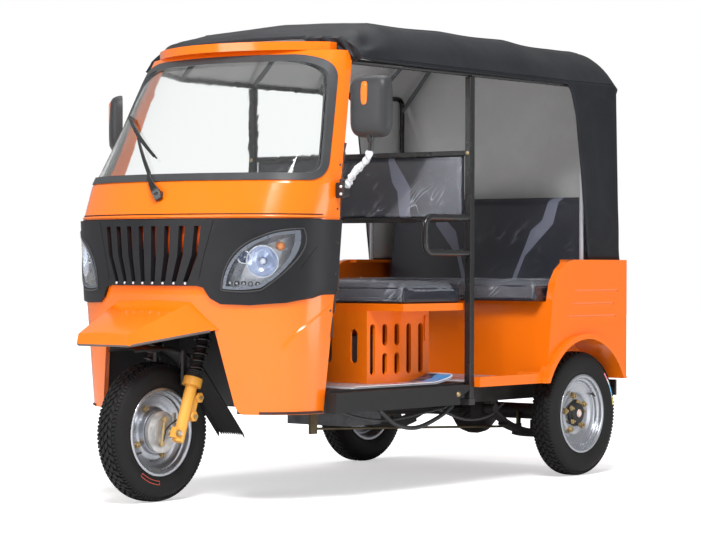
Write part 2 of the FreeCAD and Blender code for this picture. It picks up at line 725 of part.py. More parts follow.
def glass_opening(inset):
    """Side view of the windscreen opening, carried across the cab."""
    slope = (521.0 - 333.0) / (GLASS_TOP - COWL_TOP)
    low = COWL_TOP + inset
    high = GLASS_TOP - inset
    along = V(0, slope, 1).normalize()
    ahead = V(0, -1, 0)

    def edge_point(z):
        y = 333.0 + (z - COWL_TOP) * slope - inset * math.hypot(1, slope)
        return V(-FAR, FRONT_AXLE_Y + y, z)

    def corner(point, one, other, cut):
        """Arc that rounds off a corner between two directions."""
        half_turn = one.getAngle(other) / 2
        drop = cut * math.tan(half_turn) * (1 / math.sin(half_turn) - 1)
        middle = point + (one + other).normalize() * drop
        return Part.Arc(point + one * cut, middle, point + other * cut)

    low_arc = corner(edge_point(low), ahead, along, 82.0 - inset)
    top_arc = corner(edge_point(high), along * -1, ahead, 104.0 - inset)
    far_low = V(-FAR, -FAR, low)
    far_high = V(-FAR, -FAR, high)
    wire = Part.Wire([
        Part.LineSegment(far_low, low_arc.StartPoint).toShape(),
        low_arc.toShape(),
        Part.LineSegment(low_arc.EndPoint, top_arc.StartPoint).toShape(),
        top_arc.toShape(),
        Part.LineSegment(top_arc.EndPoint, far_high).toShape(),
        Part.LineSegment(far_high, far_low).toShape(),
    ])
    return Part.Face(wire).extrude(V(2 * FAR, 0, 0))


def cab_parts():
    foot = CAB_SECTIONS[0][0]
    opening = prism_y(symmetric(WHEEL_OPENING), -FAR, FRONT_AXLE_Y + 300)
    band_side = above_band_edge()

    # Painted nose: full wall below the band, a thin panel behind the band
    skin = cab_shell(0, -CAB_WALL, foot, BAND_TOP).cut(band_side)
    behind = cab_shell(-BAND_BACK - 2, -CAB_WALL, 700, BAND_TOP).common(
        above_band_edge(grow=5))
    lamp = headlight_outline()
    nose = fuse([skin, behind]).cut(opening).cut(lamp).cut(mirrored(lamp))
    save("front_apron", nose)

    # Plastic band with the grille and the places of the lamps
    band = cab_shell(BAND_PROUD, -BAND_BACK, 700, BAND_TOP).common(band_side)
    band = band.cut(lamp).cut(mirrored(lamp))
    for slot in grille_slots():
        band = band.cut(slot)
    save("grille_band", band)

    # Lamps: a bezel ring that holds the thin clear lens, and the bowl behind
    lamp_body = cab_shell(BAND_PROUD + 3, -BAND_BACK, 700, BAND_TOP).common(lamp)
    lens_hole = headlight_outline(-11)
    bezel = lamp_body.cut(lens_hole)
    lens = cab_shell(BAND_PROUD, BAND_PROUD - LENS_T, 700, BAND_TOP).common(lens_hole)
    back = -BAND_BACK - SEAT_GAP
    bowl = cab_shell(back, back - BOWL_DEPTH, 700, BAND_TOP).common(headlight_outline(-2))
    hollow = cab_shell(0, back - BOWL_DEPTH + 4, 700, BAND_TOP).common(headlight_outline(-6))
    save("headlight_bezels", both(bezel))
    save("headlight_lenses", both(lens))
    save("headlight_bowls", both(bowl.cut(hollow)))

    # Cab frame: cowl, leaning pillars, header and the visor over the screen
    frame = cab_shell(0, -CAB_WALL, BAND_TOP, CAB_TOP).cut(glass_opening(0))
    tip = FRONT_AXLE_Y + 318
    wing = FRONT_AXLE_Y + 520
    back = FRONT_AXLE_Y + 560
    outline = Part.Wire([
        Part.Arc(V(-VISOR_HALF, wing, CAB_TOP), V(0, tip, CAB_TOP),
                 V(VISOR_HALF, wing, CAB_TOP)).toShape(),
        Part.LineSegment(V(VISOR_HALF, wing, CAB_TOP), V(VISOR_HALF, back, CAB_TOP)).toShape(),
        Part.LineSegment(V(VISOR_HALF, back, CAB_TOP), V(-VISOR_HALF, back, CAB_TOP)).toShape(),
        Part.LineSegment(V(-VISOR_HALF, back, CAB_TOP), V(-VISOR_HALF, wing, CAB_TOP)).toShape(),
    ])
    visor = Part.Face(outline).extrude(V(0, 0, VISOR_T))
    save("cab_frame", fuse([frame, visor]))

    # Screen: rubber channel round the opening, and the curved glass in it
    seal = cab_shell(6, -CAB_WALL + 4, COWL_TOP - 60, GLASS_TOP + 10)
    seal = seal.common(glass_opening(0)).cut(glass_opening(SEAL_WIDTH))
    save("windshield_seal", seal)
    glass = cab_shell(-6, -6 - GLASS_T, COWL_TOP, GLASS_TOP)
    save("windshield_glass", glass.common(glass_opening(SEAL_WIDTH)))

    # Shelf behind the cowl
    shelf = cab_solid(-CAB_WALL - SEAT_GAP, DASH_Z, DASH_Z + DASH_T)
    save("dash_shelf", shelf.common(box(-FAR, FAR, -FAR, DASH_BACK, 0, FAR)))

    # Wiper: spindle, arm and blade just off the glass
    def off(x, z, gap):
        return (x, cab_front_y(x, z) - gap, z)

    axis = (17, 1195)
    grip = (-250, 1420)
    blade = [(-89, 1331), (-170, 1376), grip, (-335, 1466), (-418, 1511)]
    spindle = rod((axis[0], cab_front_y(*axis) + 1, axis[1]), off(*axis, 30), 9)
    wiper = fuse([
        spindle,
        rod(off(*axis, 24), off(*grip, 24), 4),
        bent_tube([off(x, z, 12) for x, z in blade], 4),
        rod(off(*grip, 24), off(*grip, 12), 4),
    ])
    save("wiper", wiper.cut(cab_solid(SEAT_GAP, BAND_TOP, CAB_TOP)))

    # Front fender: pressed sheet over the wheel, closed at tip and sides
    def fender_wire(section, inset, drop):
        y, low_half, low_z, half, z, crown = section
        y = FRONT_AXLE_Y + y
        pts = [V(low_half - inset, y, low_z - drop), V(half - inset * 0.8, y, z - inset),
               V(0, y, crown - inset), V(-half + inset * 0.8, y, z - inset),
               V(-low_half + inset, y, low_z - drop)]
        return Part.Wire([
            Part.LineSegment(pts[0], pts[1]).toShape(),
            Part.Arc(pts[1], pts[2], pts[3]).toShape(),
            Part.LineSegment(pts[3], pts[4]).toShape(),
            Part.LineSegment(pts[4], pts[0]).toShape(),
        ])

    outside = Part.makeLoft([fender_wire(s, 0, 0) for s in FENDER_SECTIONS], True, True)
    rear_row, front_row = FENDER_SECTIONS
    short_row = (front_row[0] + FENDER_T,) + front_row[1:]
    inside = Part.makeLoft([fender_wire(rear_row, FENDER_T, 60),
                            fender_wire(short_row, FENDER_T, 60)], True, True)
    body = cab_solid(SEAT_GAP, foot, BAND_TOP, back=FAR / 10)
    body = body.fuse(cab_shell(BAND_PROUD + SEAT_GAP, -CAB_WALL, 700, BAND_TOP).common(
        band_side))
    save("front_fender", outside.cut(inside).cut(body))


def mirror_parts():
    """Mirrors on arms from brackets at the feet of the pillars."""
    width, depth, height = MIRROR_SIZE
    shapes = []
    for side, back, mirror_z, yaw in MIRRORS:
        mirror_y = FRONT_AXLE_Y + back
        head = box(-width / 2, width / 2, -depth / 2, depth / 2, -height / 2, height / 2)
        head = head.makeFillet(22, head.Edges)
        head.rotate(V(0, 0, 0), V(0, 0, 1), yaw)
        outer = MIRROR_X + width / 2 - head.BoundBox.XLength / 2
        head.translate(V(side * outer, mirror_y, mirror_z))
        foot_x = CAB_SECTIONS[3][1] + SEAT_GAP
        foot_y = FRONT_AXLE_Y + 392
        foot = box(foot_x, foot_x + 22, foot_y - 14, foot_y + 14, 1175, 1215)
        low = mirror_z - height / 2
        arm = bent_tube([(foot_x + 14, foot_y, 1200), (foot_x + 60, foot_y + 8, 1290),
                         (MIRROR_X, mirror_y, low - 30), (MIRROR_X, mirror_y, low + 10)], 7)
        piece = fuse([foot, arm])
        if side < 0:
            piece = mirrored(piece)
        shapes.append(fuse([piece, head]))
    save("mirrors", Part.makeCompound(shapes))


# ---------------------------------------------------------------- middle of body
def middle_parts():
    # Bulkhead frame: two posts, two cross bars and the grab handles
    rail_foot = EAVE_Z - RAIL_R - SEAT_GAP
    post = rod((POST_X, POST_Y, CROSS_BOTTOM + 25), (POST_X, POST_Y, rail_foot), POST_R)
    low, high = HANDLE_Z
    nose = POST_Y - HANDLE_REACH
    handle = bent_tube([(POST_X, POST_Y, low), (POST_X, nose + 40, low), (POST_X, nose, low + 40),
                        (POST_X, nose, high - 40), (POST_X, nose + 40, high),
                        (POST_X, POST_Y, high)], HANDLE_R)
    bars = [rod((-POST_X, POST_Y, z), (POST_X, POST_Y, z), BACK_BAR_R) for z in BACK_BARS]
    frame = fuse([post, mirrored(post), handle, mirrored(handle)] + bars)
    save("bulkhead_frame", frame)

    gap = BACK_BAR_R + SEAT_GAP
    save("driver_backrest", box(-PLATFORM_HALF + 12, PLATFORM_HALF - 12, POST_Y - 8, POST_Y + 8,
                                BACK_BARS[0] + gap, BACK_BARS[1] - gap))

    # Seat box over the engine, with cooling slots in its side and front
    wall = SEAT_BOX_WALL
    half = SEAT_BOX_HALF
    shell = box(-half, half, SEAT_BOX_FRONT, SEAT_BOX_BACK, FLOOR_TOP, SEAT_BOX_TOP)
    shell = shell.cut(box(-half + wall, half - wall, SEAT_BOX_FRONT + wall,
                          SEAT_BOX_BACK - wall, 0, SEAT_BOX_TOP - wall))

    def oval(centre, reach, z0, z1, half_width):
        """Upright slot with round ends, cut along X or Y through the centre."""
        run = V(*reach)
        start = V(*centre) - run * 0.5
        across = V(abs(run.y), abs(run.x), 0).normalize() * half_width
        points = [start - across, start + across]
        face = Part.Face(Part.makePolygon([
            points[0] + V(0, 0, z0 + half_width), points[1] + V(0, 0, z0 + half_width),
            points[1] + V(0, 0, z1 - half_width), points[0] + V(0, 0, z1 - half_width),
            points[0] + V(0, 0, z0 + half_width)]))
        ends = [Part.makeCylinder(half_width, run.Length, start + V(0, 0, z), run)
                for z in (z0 + half_width, z1 - half_width)]
        return fuse([face.extrude(run)] + ends)

    for index, (low, bridge, high) in enumerate(SEAT_SLOTS):
        centre = (0, SEAT_BOX_FRONT + 37 + SEAT_SLOT_PITCH * index, 0)
        through = (2 * half + 20, 0, 0)
        if bridge:
            middle = (low + high) / 2
            shell = shell.cut(oval(centre, through, low, middle - bridge / 2, SEAT_SLOT_HALF))
            shell = shell.cut(oval(centre, through, middle + bridge / 2, high, SEAT_SLOT_HALF))
        else:
            shell = shell.cut(oval(centre, through, low, high, SEAT_SLOT_HALF))
    for slot_x in SEAT_FRONT_SLOTS:
        for x in (slot_x, -slot_x):
            shell = shell.cut(oval((x, SEAT_BOX_FRONT, 0), (0, 4 * wall, 0), 517, 655, 18.5))
    save("driver_seat_box", shell)

    back = POST_Y - POST_R - 2
    platform_top = SEAT_BOX_TOP + PLATFORM_T
    save("driver_seat_platform", box(-PLATFORM_HALF, PLATFORM_HALF, PLATFORM_FRONT, back,
                                     SEAT_BOX_TOP, platform_top))
    save("driver_cushion", box(-PLATFORM_HALF + 2, PLATFORM_HALF - 2, PLATFORM_FRONT, back - 2,
                               platform_top + SEAT_GAP, platform_top + CUSHION_T))


# ---------------------------------------------------------------- rear body
def rear_parts():
    # Tub: side walls, back, riser and seat deck, with drums over the wheels
    fall = TUB_RIM_Y - TUB_SHOULDER
    rise = TUB_TOP - TUB_SHOULDER_Z
    side_points = [
        (TUB_FRONT, RAIL_TOP), (TUB_SHOULDER, TUB_SHOULDER_Z),
        (TUB_SHOULDER + 0.12 * fall, TUB_SHOULDER_Z + 0.42 * rise),
        (TUB_SHOULDER + 0.36 * fall, TUB_SHOULDER_Z + 0.74 * rise),
        (TUB_SHOULDER + 0.68 * fall, TUB_SHOULDER_Z + 0.94 * rise),
        (TUB_RIM_Y, TUB_TOP), (TUB_BACK, TUB_TOP), (TUB_BACK, RAIL_TOP),
    ]
    tub = prism_x(side_points, -TUB_HALF, TUB_HALF)
    half = TUB_HALF - TUB_WALL
    rear = TUB_BACK - TUB_SHEET
    upper = box(-half, half, 0, rear, DECK_TOP, FAR)
    lean = (TUB_SHOULDER - TUB_FRONT) / (TUB_SHOULDER_Z - RAIL_TOP)
    deck_low = DECK_TOP - TUB_SHEET
    lower = prism_x([(TUB_FRONT + TUB_SHEET, 0), (TUB_FRONT + TUB_SHEET, RAIL_TOP),
                     (TUB_FRONT + TUB_SHEET + lean * (deck_low - RAIL_TOP), deck_low),
                     (rear, deck_low), (rear, 0)], -half, half)
    tub = tub.cut(upper).cut(lower)
    rim_flange = fuse([
        box(FLANGE_IN, half + 1, TUB_RIM_Y, rear + 1, TUB_TOP - 15, TUB_TOP),
        box(-half - 1, -FLANGE_IN, TUB_RIM_Y, rear + 1, TUB_TOP - 15, TUB_TOP),
        box(-half - 1, half + 1, rear - 30, rear + 1, TUB_TOP - 15, TUB_TOP),
    ])
    add = [rim_flange]
    cut = []
    keep = box(-FAR, FAR, -FAR, FAR, RAIL_TOP, FAR)
    add += wheel_drums().common(keep).Solids
    for side in (1, -1):
        run = V(side, 0, 0)
        lip = Part.makeCylinder(ARCH_R + ARCH_LIP, ARCH_LIP_OUT + TUB_WALL - 5,
                                V(side * (half + 5), REAR_AXLE_Y, AXLE_Z), run)
        add.append(lip.common(keep))
        start = V(side * HOUSING_X, REAR_AXLE_Y, AXLE_Z)
        cut.append(Part.makeCylinder(ARCH_R, FAR, start, run))
    sill = box(half, half + 30, POST_Y + POST_R + SEAT_GAP, TUB_FRONT + 8, RAIL_TOP, RAIL_TOP + 41)
    for start, end, line_z in TUB_LINES:
        groove = prism_y([(TUB_HALF + 1, line_z - 8), (TUB_HALF - 3, line_z - 2),
                          (TUB_HALF - 3, line_z + 2), (TUB_HALF + 1, line_z + 8)], start, end)
        cut.append(both(groove))
    tub = fuse([tub, sill, mirrored(sill)] + add)
    for shape in cut:
        tub = tub.cut(shape)
    save("rear_tub", tub)

    seat_half = half - 5
    cushion_back = REAR_AXLE_Y + 131
    save("passenger_cushion", box(-seat_half, seat_half, TUB_FRONT - 34, cushion_back,
                                  DECK_TOP + SEAT_GAP, DECK_TOP + 90))
    save("passenger_backrest", prism_x([
        (cushion_back + 2, DECK_TOP + SEAT_GAP), (cushion_back + 82, DECK_TOP + SEAT_GAP),
        (cushion_back + 150, DECK_TOP + 460), (cushion_back + 70, DECK_TOP + 460)],
        -FLANGE_IN + 5, FLANGE_IN - 5))

    # Bumper beam on the rails' ends, with the bracket for a plate
    beam = box(-TUB_HALF + 60, TUB_HALF - 60, TUB_BACK, REAR_END_Y, RAIL_TOP - 80,
               RAIL_TOP - 10)
    bracket = box(-140, 140, TUB_BACK + 4, TUB_BACK + 8, RAIL_TOP - 20, RAIL_TOP + 110)
    bumper = fuse([beam, bracket])
    for side in (1, -1):
        x = side * PLATE_HOLE_PITCH / 2
        bumper = bumper.cut(rod((x, TUB_BACK, PLATE_HOLE_Z), (x, REAR_END_Y, PLATE_HOLE_Z),
                                PLATE_HOLE_R))
    save("rear_bumper", bumper)
    lamp = box(TUB_HALF - 130, TUB_HALF - 40, TUB_BACK, REAR_END_Y - 3, 560, 760)
    save("tail_lamps", both(lamp))


# ---------------------------------------------------------------- roof
EAVE_Z = 1702.0
EAVE_X = 588.0
BOW_INSET = 20.0              # bows inside the canopy's shoulder
BOW_DROP = 30.0               # and below it
BOWS = (
    # canopy section, y shift, height of the ends
    (1, 15.0, EAVE_Z),
    (2, 0.0, EAVE_Z),
    (3, 0.0, EAVE_Z),
    (4, -25.0, EAVE_Z - 60.0),
)


def canopy_wire(section, inset, drop, y_shift=0.0):
    y, eave, half, shoulder_z, crown_z, eave_z = section
    y += y_shift
    eave -= inset
    half -= inset * 0.6
    shoulder_z -= inset
    crown_z -= inset
    eave_z -= inset * 0.4
    base = eave_z - 15 - drop
    slope = V(eave - half, 0, eave_z - shoulder_z)
    near = V(half, 0, shoulder_z) + slope * 0.22
    flat = V(half * 0.82, 0, shoulder_z + (crown_z - shoulder_z) * 0.30)
    bulge = V(half * 0.975, 0, shoulder_z - (shoulder_z - near.z) * 0.12)

    def at(p, side):
        return V(side * p.x, y, p.z)

    low = V(eave, 0, base)
    edge = V(eave, 0, eave_z)
    return Part.Wire([
        Part.LineSegment(at(low, 1), at(edge, 1)).toShape(),
        Part.LineSegment(at(edge, 1), at(near, 1)).toShape(),
        Part.Arc(at(near, 1), at(bulge, 1), at(flat, 1)).toShape(),
        Part.Arc(at(flat, 1), V(0, y, crown_z), at(flat, -1)).toShape(),
        Part.Arc(at(flat, -1), at(bulge, -1), at(near, -1)).toShape(),
        Part.LineSegment(at(near, -1), at(edge, -1)).toShape(),
        Part.LineSegment(at(edge, -1), at(low, -1)).toShape(),
        Part.LineSegment(at(low, -1), at(low, 1)).toShape(),
    ])


def roof_parts():
    # Canopy: roof skin over the bows, and the rear quarter down to the tub
    last = len(CANOPY_SECTIONS) - 1
    outer_wires = [canopy_wire(s, 0, 0) for s in CANOPY_SECTIONS]
    inner_wires = []
    for index, section in enumerate(CANOPY_SECTIONS):
        shift = -20.0 if index == 0 else (-CANOPY_T if index == last else 0.0)
        inner_wires.append(canopy_wire(section, CANOPY_T, 60, shift))
    outer_runs = [Part.makeLoft(outer_wires[i:i + 2], True, True) for i in range(last)]
    inner_runs = [Part.makeLoft(inner_wires[i:i + 2], True, True) for i in range(last)]
    knee = CANOPY_SECTIONS[last]
    foot_z = TUB_TOP + SEAT_GAP
    top = CANOPY_QUARTER[-1][1]
    knee_z = knee[5] - 4
    back = TUB_BACK + 6
    quarter = prism_x([(CANOPY_QUARTER_FOOT, foot_z)] + list(CANOPY_QUARTER) + [
        (CANOPY_SECTIONS[3][0], top), (knee[0], knee_z), (back, foot_z)],
        -CANOPY_QUARTER_HALF, CANOPY_QUARTER_HALF)
    room_half = CANOPY_QUARTER_HALF - CANOPY_T
    room = prism_x([(0, foot_z - 50), (0, top - CANOPY_T),
                    (CANOPY_SECTIONS[3][0], top - CANOPY_T),
                    (knee[0] - CANOPY_T, knee_z - CANOPY_T / 2),
                    (back - CANOPY_T, foot_z - 50)], -room_half, room_half)
    skin = outer_runs[0].multiFuse(outer_runs[1:] + [quarter])
    hollow = inner_runs[0].multiFuse(inner_runs[1:] + [room])
    save("canopy", skin.cut(hollow).removeSplitter())

    # Eave rails, each bent down at the rear on to the tub, with a quarter post
    ridge_y = CANOPY_SECTIONS[1][0] + 15
    rear_y = knee[0] - 25
    pillar_z = 1712.0
    pillar_y = door_edge_y(pillar_z + RAIL_R) + 2 * SEAT_GAP
    pillar_x = cab_section(pillar_z)[1] - CAB_WALL / 2
    rail_route = [(pillar_x, pillar_y, pillar_z), (pillar_x, pillar_y + 10, pillar_z),
                  (EAVE_X, ridge_y, EAVE_Z), (EAVE_X, rear_y, EAVE_Z),
                  (EAVE_X, rear_y, TUB_TOP)]
    quarter_y = CANOPY_SECTIONS[3][0] - 30
    quarter_post = rod((EAVE_X - 3, quarter_y, TUB_TOP), (EAVE_X - 3, quarter_y, EAVE_Z), BOW_R)
    save("roof_rails", both(fuse([bent_tube(rail_route, RAIL_R), quarter_post])))

    # Bows: bent tubes across the vehicle, their ends against the rails
    rail_room = bent_tube(rail_route, RAIL_R + SEAT_GAP, bend=3 * RAIL_R / (RAIL_R + SEAT_GAP))
    rows = [(CANOPY_SECTIONS[i], shift, foot) for i, shift, foot in BOWS]
    share = (POST_Y - CANOPY_SECTIONS[1][0]) / (CANOPY_SECTIONS[2][0] - CANOPY_SECTIONS[1][0])
    over_post = [a + (b - a) * share for a, b in zip(CANOPY_SECTIONS[1], CANOPY_SECTIONS[2])]
    rows.append((over_post, 0.0, EAVE_Z))
    bows = []
    for section, shift, foot in rows:
        y = section[0] + shift
        half = section[2] - BOW_INSET
        shoulder = section[3] - BOW_DROP
        bow = bent_tube([(EAVE_X, y, foot), (half, y, shoulder), (0, y, section[4] - BOW_DROP + 7),
                         (-half, y, shoulder), (-EAVE_X, y, foot)], BOW_R)
        bows.append(bow.cut(rail_room).cut(mirrored(rail_room)))
    save("roof_bows", Part.makeCompound(bows))


# ---------------------------------------------------------------- underneath
ENGINE_HALF = 160.0
ENGINE_FRONT = POST_Y - 270.0
ENGINE_BACK = POST_Y - 40.0
ENGINE_BOTTOM = 245.0
ENGINE_TOP = 620.0
DIFF_X = 60.0
DIFF_R = 110.0
AXLE_TUBE_R = 35.0
BACK_PLATE_R = 98.0
SPRING_X = 410.0
SPRING_EYE_Z = 300.0
SPRING_AHEAD = 368.0
SPRING_BEHIND = 320.0
SPRING_FRONT_Y = REAR_AXLE_Y - SPRING_AHEAD
SPRING_BACK_Y = REAR_AXLE_Y + SPRING_BEHIND
LEAF_T = 12.0
LEAF_WIDTH = 50.0
SADDLE_Z = 197.0


def under_parts():
    save("engine_block", box(-ENGINE_HALF, ENGINE_HALF, ENGINE_FRONT, ENGINE_BACK, ENGINE_BOTTOM,
                             ENGINE_TOP))
    nose_y = REAR_AXLE_Y - DIFF_R - 20
    save("propshaft", bent_tube([
        (0, ENGINE_BACK + SEAT_GAP, 300), (0, ENGINE_BACK + 40, 300),
        (DIFF_X, nose_y - 40, 280), (DIFF_X, nose_y - SEAT_GAP, 280)], 25))

    # Rear axle: tube, final drive, stub ends and brake backing plates
    stub_end = TRACK / 2 + 20
    plate = HOUSING_X - 4
    axle = spun([
        (-stub_end, 0), (-stub_end, REAR_STUB_R), (-plate - 18, REAR_STUB_R),
        (-plate - 18, BACK_PLATE_R), (-plate, BACK_PLATE_R), (-plate, AXLE_TUBE_R),
        (DIFF_X - 0.9 * DIFF_R, AXLE_TUBE_R), (DIFF_X - 0.8 * DIFF_R, 0.6 * DIFF_R),
        (DIFF_X - 0.45 * DIFF_R, 0.92 * DIFF_R), (DIFF_X - 0.15 * DIFF_R, DIFF_R),
        (DIFF_X + 0.15 * DIFF_R, DIFF_R), (DIFF_X + 0.45 * DIFF_R, 0.92 * DIFF_R),
        (DIFF_X + 0.8 * DIFF_R, 0.6 * DIFF_R), (DIFF_X + 0.9 * DIFF_R, AXLE_TUBE_R),
        (plate, AXLE_TUBE_R), (plate, BACK_PLATE_R), (plate + 18, BACK_PLATE_R),
        (plate + 18, REAR_STUB_R), (stub_end, REAR_STUB_R), (stub_end, 0),
    ])
    axle.translate(V(0, REAR_AXLE_Y, AXLE_Z))
    nose = rod((DIFF_X, nose_y, AXLE_Z + 10), (DIFF_X, REAR_AXLE_Y - 40, AXLE_Z + 10), 45)
    save("rear_axle", fuse([axle, nose]))

    # Leaf springs below the axle: leaves on arcs about one centre
    ends = [V(0, SPRING_FRONT_Y, SPRING_EYE_Z), V(0, REAR_AXLE_Y, SADDLE_Z),
            V(0, SPRING_BACK_Y, SPRING_EYE_Z)]
    circle = Part.Arc(*ends).toShape().Curve
    centre = circle.Center
    radius = circle.Radius

    def at(angle, distance):
        return V(SPRING_X - LEAF_WIDTH / 2, centre.y + distance * math.sin(angle),
                 centre.z - distance * math.cos(angle))

    a0 = math.atan2(SPRING_FRONT_Y - centre.y, centre.z - SPRING_EYE_Z)
    a1 = math.atan2(SPRING_BACK_Y - centre.y, centre.z - SPRING_EYE_Z)
    middle = math.atan2(REAR_AXLE_Y - centre.y, centre.z - SADDLE_Z)
    leaves = []
    for index, share in enumerate((1.0, 0.72, 0.44)):
        near = radius + index * LEAF_T
        far = near + LEAF_T
        b0 = middle + (a0 - middle) * share
        b1 = middle + (a1 - middle) * share
        wire = Part.Wire([
            Part.Arc(at(b0, near), at(middle, near), at(b1, near)).toShape(),
            Part.LineSegment(at(b1, near), at(b1, far)).toShape(),
            Part.Arc(at(b1, far), at(middle, far), at(b0, far)).toShape(),
            Part.LineSegment(at(b0, far), at(b0, near)).toShape(),
        ])
        leaves.append(Part.Face(wire).extrude(V(LEAF_WIDTH, 0, 0)))
    x0 = SPRING_X - LEAF_WIDTH / 2
    x1 = SPRING_X + LEAF_WIDTH / 2
    eyes = [rod((x0, y, SPRING_EYE_Z), (x1, y, SPRING_EYE_Z), 20)
            for y in (SPRING_FRONT_Y, SPRING_BACK_Y)]
    saddle = box(x0 - 4, x1 + 4, REAR_AXLE_Y - 30, REAR_AXLE_Y + 30, SADDLE_Z - 4,
                 AXLE_Z - AXLE_TUBE_R - SEAT_GAP)
    save("leaf_springs", both(fuse(leaves + eyes + [saddle])))

    # Exhaust: pipe, silencer and tail pipe on the right
    x = -ENGINE_HALF - 80
    can_front = ENGINE_BACK + 170
    can_back = TUB_FRONT
    exhaust = fuse([
        bent_tube([(-ENGINE_HALF - SEAT_GAP, ENGINE_BACK - 80, 310),
                   (-ENGINE_HALF - 40, ENGINE_BACK - 80, 310),
                   (x, ENGINE_BACK - 20, 305), (x, can_front, 270)], 16),
        rod((x, can_front, 270), (x, can_back, 270), 52),
        bent_tube([(x, can_back, 270), (x, can_back + 90, 255), (x - 50, can_back + 130, 245)], 14),
        box(x - 10, x + 10, TUB_FRONT - 60, TUB_FRONT - 40, 300, CROSS_BOTTOM),
    ])
    save("exhaust", exhaust)

    # Brake pull rod from the pedal's cross shaft to the axle's lever
    lever_x = 330.0
    rod_z = 205.0
    linkage = fuse([
        rod((lever_x, LINER_BACK + 60, rod_z + 60), (lever_x, REAR_AXLE_Y - 70, rod_z), 5),
        box(lever_x - 6, lever_x + 6, LINER_BACK + 25, LINER_BACK + 65, rod_z + 40, CROSS_BOTTOM),
        box(lever_x - 6, lever_x + 6, REAR_AXLE_Y - 75, REAR_AXLE_Y - AXLE_TUBE_R + 6, rod_z - 12,
            rod_z + 12),
        box(lever_x - 6, lever_x + 6, REAR_AXLE_Y - AXLE_TUBE_R - 20,
            REAR_AXLE_Y - AXLE_TUBE_R - SEAT_GAP, rod_z - 12, AXLE_Z),
    ])
    save("brake_linkage", linkage)


wheel_parts()
fork_parts()
chassis_parts()
cab_parts()
mirror_parts()
middle_parts()
rear_parts()
roof_parts()
under_parts()
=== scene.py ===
import json
import math

import bmesh
import bpy
import numpy as np
from mathutils import Matrix, Quaternion, Vector, noise
from mathutils.bvhtree import BVHTree


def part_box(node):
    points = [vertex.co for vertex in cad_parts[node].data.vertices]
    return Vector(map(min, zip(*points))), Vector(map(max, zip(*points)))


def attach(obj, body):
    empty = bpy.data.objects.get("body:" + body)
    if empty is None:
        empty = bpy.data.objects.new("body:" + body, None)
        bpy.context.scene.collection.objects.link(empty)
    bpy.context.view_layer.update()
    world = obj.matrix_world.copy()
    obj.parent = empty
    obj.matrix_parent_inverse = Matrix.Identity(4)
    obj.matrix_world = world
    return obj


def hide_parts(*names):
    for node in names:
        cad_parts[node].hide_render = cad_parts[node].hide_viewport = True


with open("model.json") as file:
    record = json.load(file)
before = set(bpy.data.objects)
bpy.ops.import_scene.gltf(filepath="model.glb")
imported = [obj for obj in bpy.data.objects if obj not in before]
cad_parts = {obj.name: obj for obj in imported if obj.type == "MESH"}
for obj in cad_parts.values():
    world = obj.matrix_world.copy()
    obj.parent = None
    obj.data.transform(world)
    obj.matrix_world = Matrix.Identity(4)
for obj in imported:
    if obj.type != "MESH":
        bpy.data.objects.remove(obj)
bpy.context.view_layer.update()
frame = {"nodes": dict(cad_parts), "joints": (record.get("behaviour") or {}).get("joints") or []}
nodes = frame["nodes"]


# ---------------------------------------------------------------- viewing place
# A long lens off the vehicle's left front corner, at the height of a seated
# passenger's shoulder, so that the nose and the whole open side both show.
def stand(name, data):
    """New object in the scene."""
    obj = bpy.data.objects.new(name, data)
    bpy.context.scene.collection.objects.link(obj)
    return obj


camera_data = bpy.data.cameras.new("camera")
camera_data.lens = 124.34
camera_data.sensor_width = 36.0
camera_data.clip_end = 80.0
camera = stand("camera", camera_data)
camera.location = (6.426, -7.896, 0.9205)
aim = Vector((-0.005, 0.1595, 0.893)) - camera.location
camera.rotation_mode = "QUATERNION"
camera.rotation_quaternion = aim.to_track_quat("-Z", "Y") @ Quaternion((0, 0, 1), math.radians(0.162))
bpy.context.scene.camera = camera
bpy.context.scene.view_settings.view_transform = "Standard"


# ---------------------------------------------------------------- studio
# A pale floor that runs into a white surround, a wide soft key lamp high on
# the left, a weaker one ahead and a top lamp.
def feed(tree, socket, value):
    """Link another node's output to a socket, or set its plain value."""
    if isinstance(value, bpy.types.NodeSocket):
        tree.links.new(value, socket)
    else:
        socket.default_value = value


def add(tree, kind, inputs=(), **settings):
    """New shader node; each input is a value or another node's output."""
    node = tree.nodes.new("ShaderNode" + kind)
    for key, value in settings.items():
        setattr(node, key, value)
    for key, value in dict(inputs).items():
        feed(tree, node.inputs[key], value)
    return node


def calc(tree, operation, *values, **settings):
    """Result of one sum on values or outputs."""
    return add(tree, "Math", enumerate(values), operation=operation, **settings).outputs[0]


def blend(tree, share, one, other):
    """Colour between two others."""
    return add(tree, "MixRGB", {"Fac": share, "Color1": one, "Color2": other}).outputs[0]


def ramp(tree, value, low=0.0, high=1.0, least=0.0, most=1.0, **settings):
    """A value that runs from low to high, brought to least to most."""
    return add(tree, "MapRange", {"Value": value, "From Min": low, "From Max": high, "To Min": least,
                                  "To Max": most}, **settings).outputs[0]


def clouds(tree, place, scale, detail=2.0, roughness=0.5):
    """Soft cloudy variation, 0 to 1."""
    return add(tree, "TexNoise", {"Vector": place, "Scale": scale, "Detail": detail,
                                  "Roughness": roughness}).outputs[0]

def new_material(name):
    """A material, its node tree and its shader."""
    material = bpy.data.materials.new(name)
    material.use_nodes = True
    return material, material.node_tree, material.node_tree.nodes["Principled BSDF"]


def set_shader(tree, shader, height=None, depth=0.001, **inputs):
    """Give the Principled shader plain values or outputs, and its bump."""
    for key, value in inputs.items():
        feed(tree, shader.inputs[key.replace("_", " ")], value)
    if height is not None:
        bump = add(tree, "Bump", {"Height": height, "Distance": depth, "Strength": 1.0})
        tree.links.new(bump.outputs["Normal"], shader.inputs["Normal"])


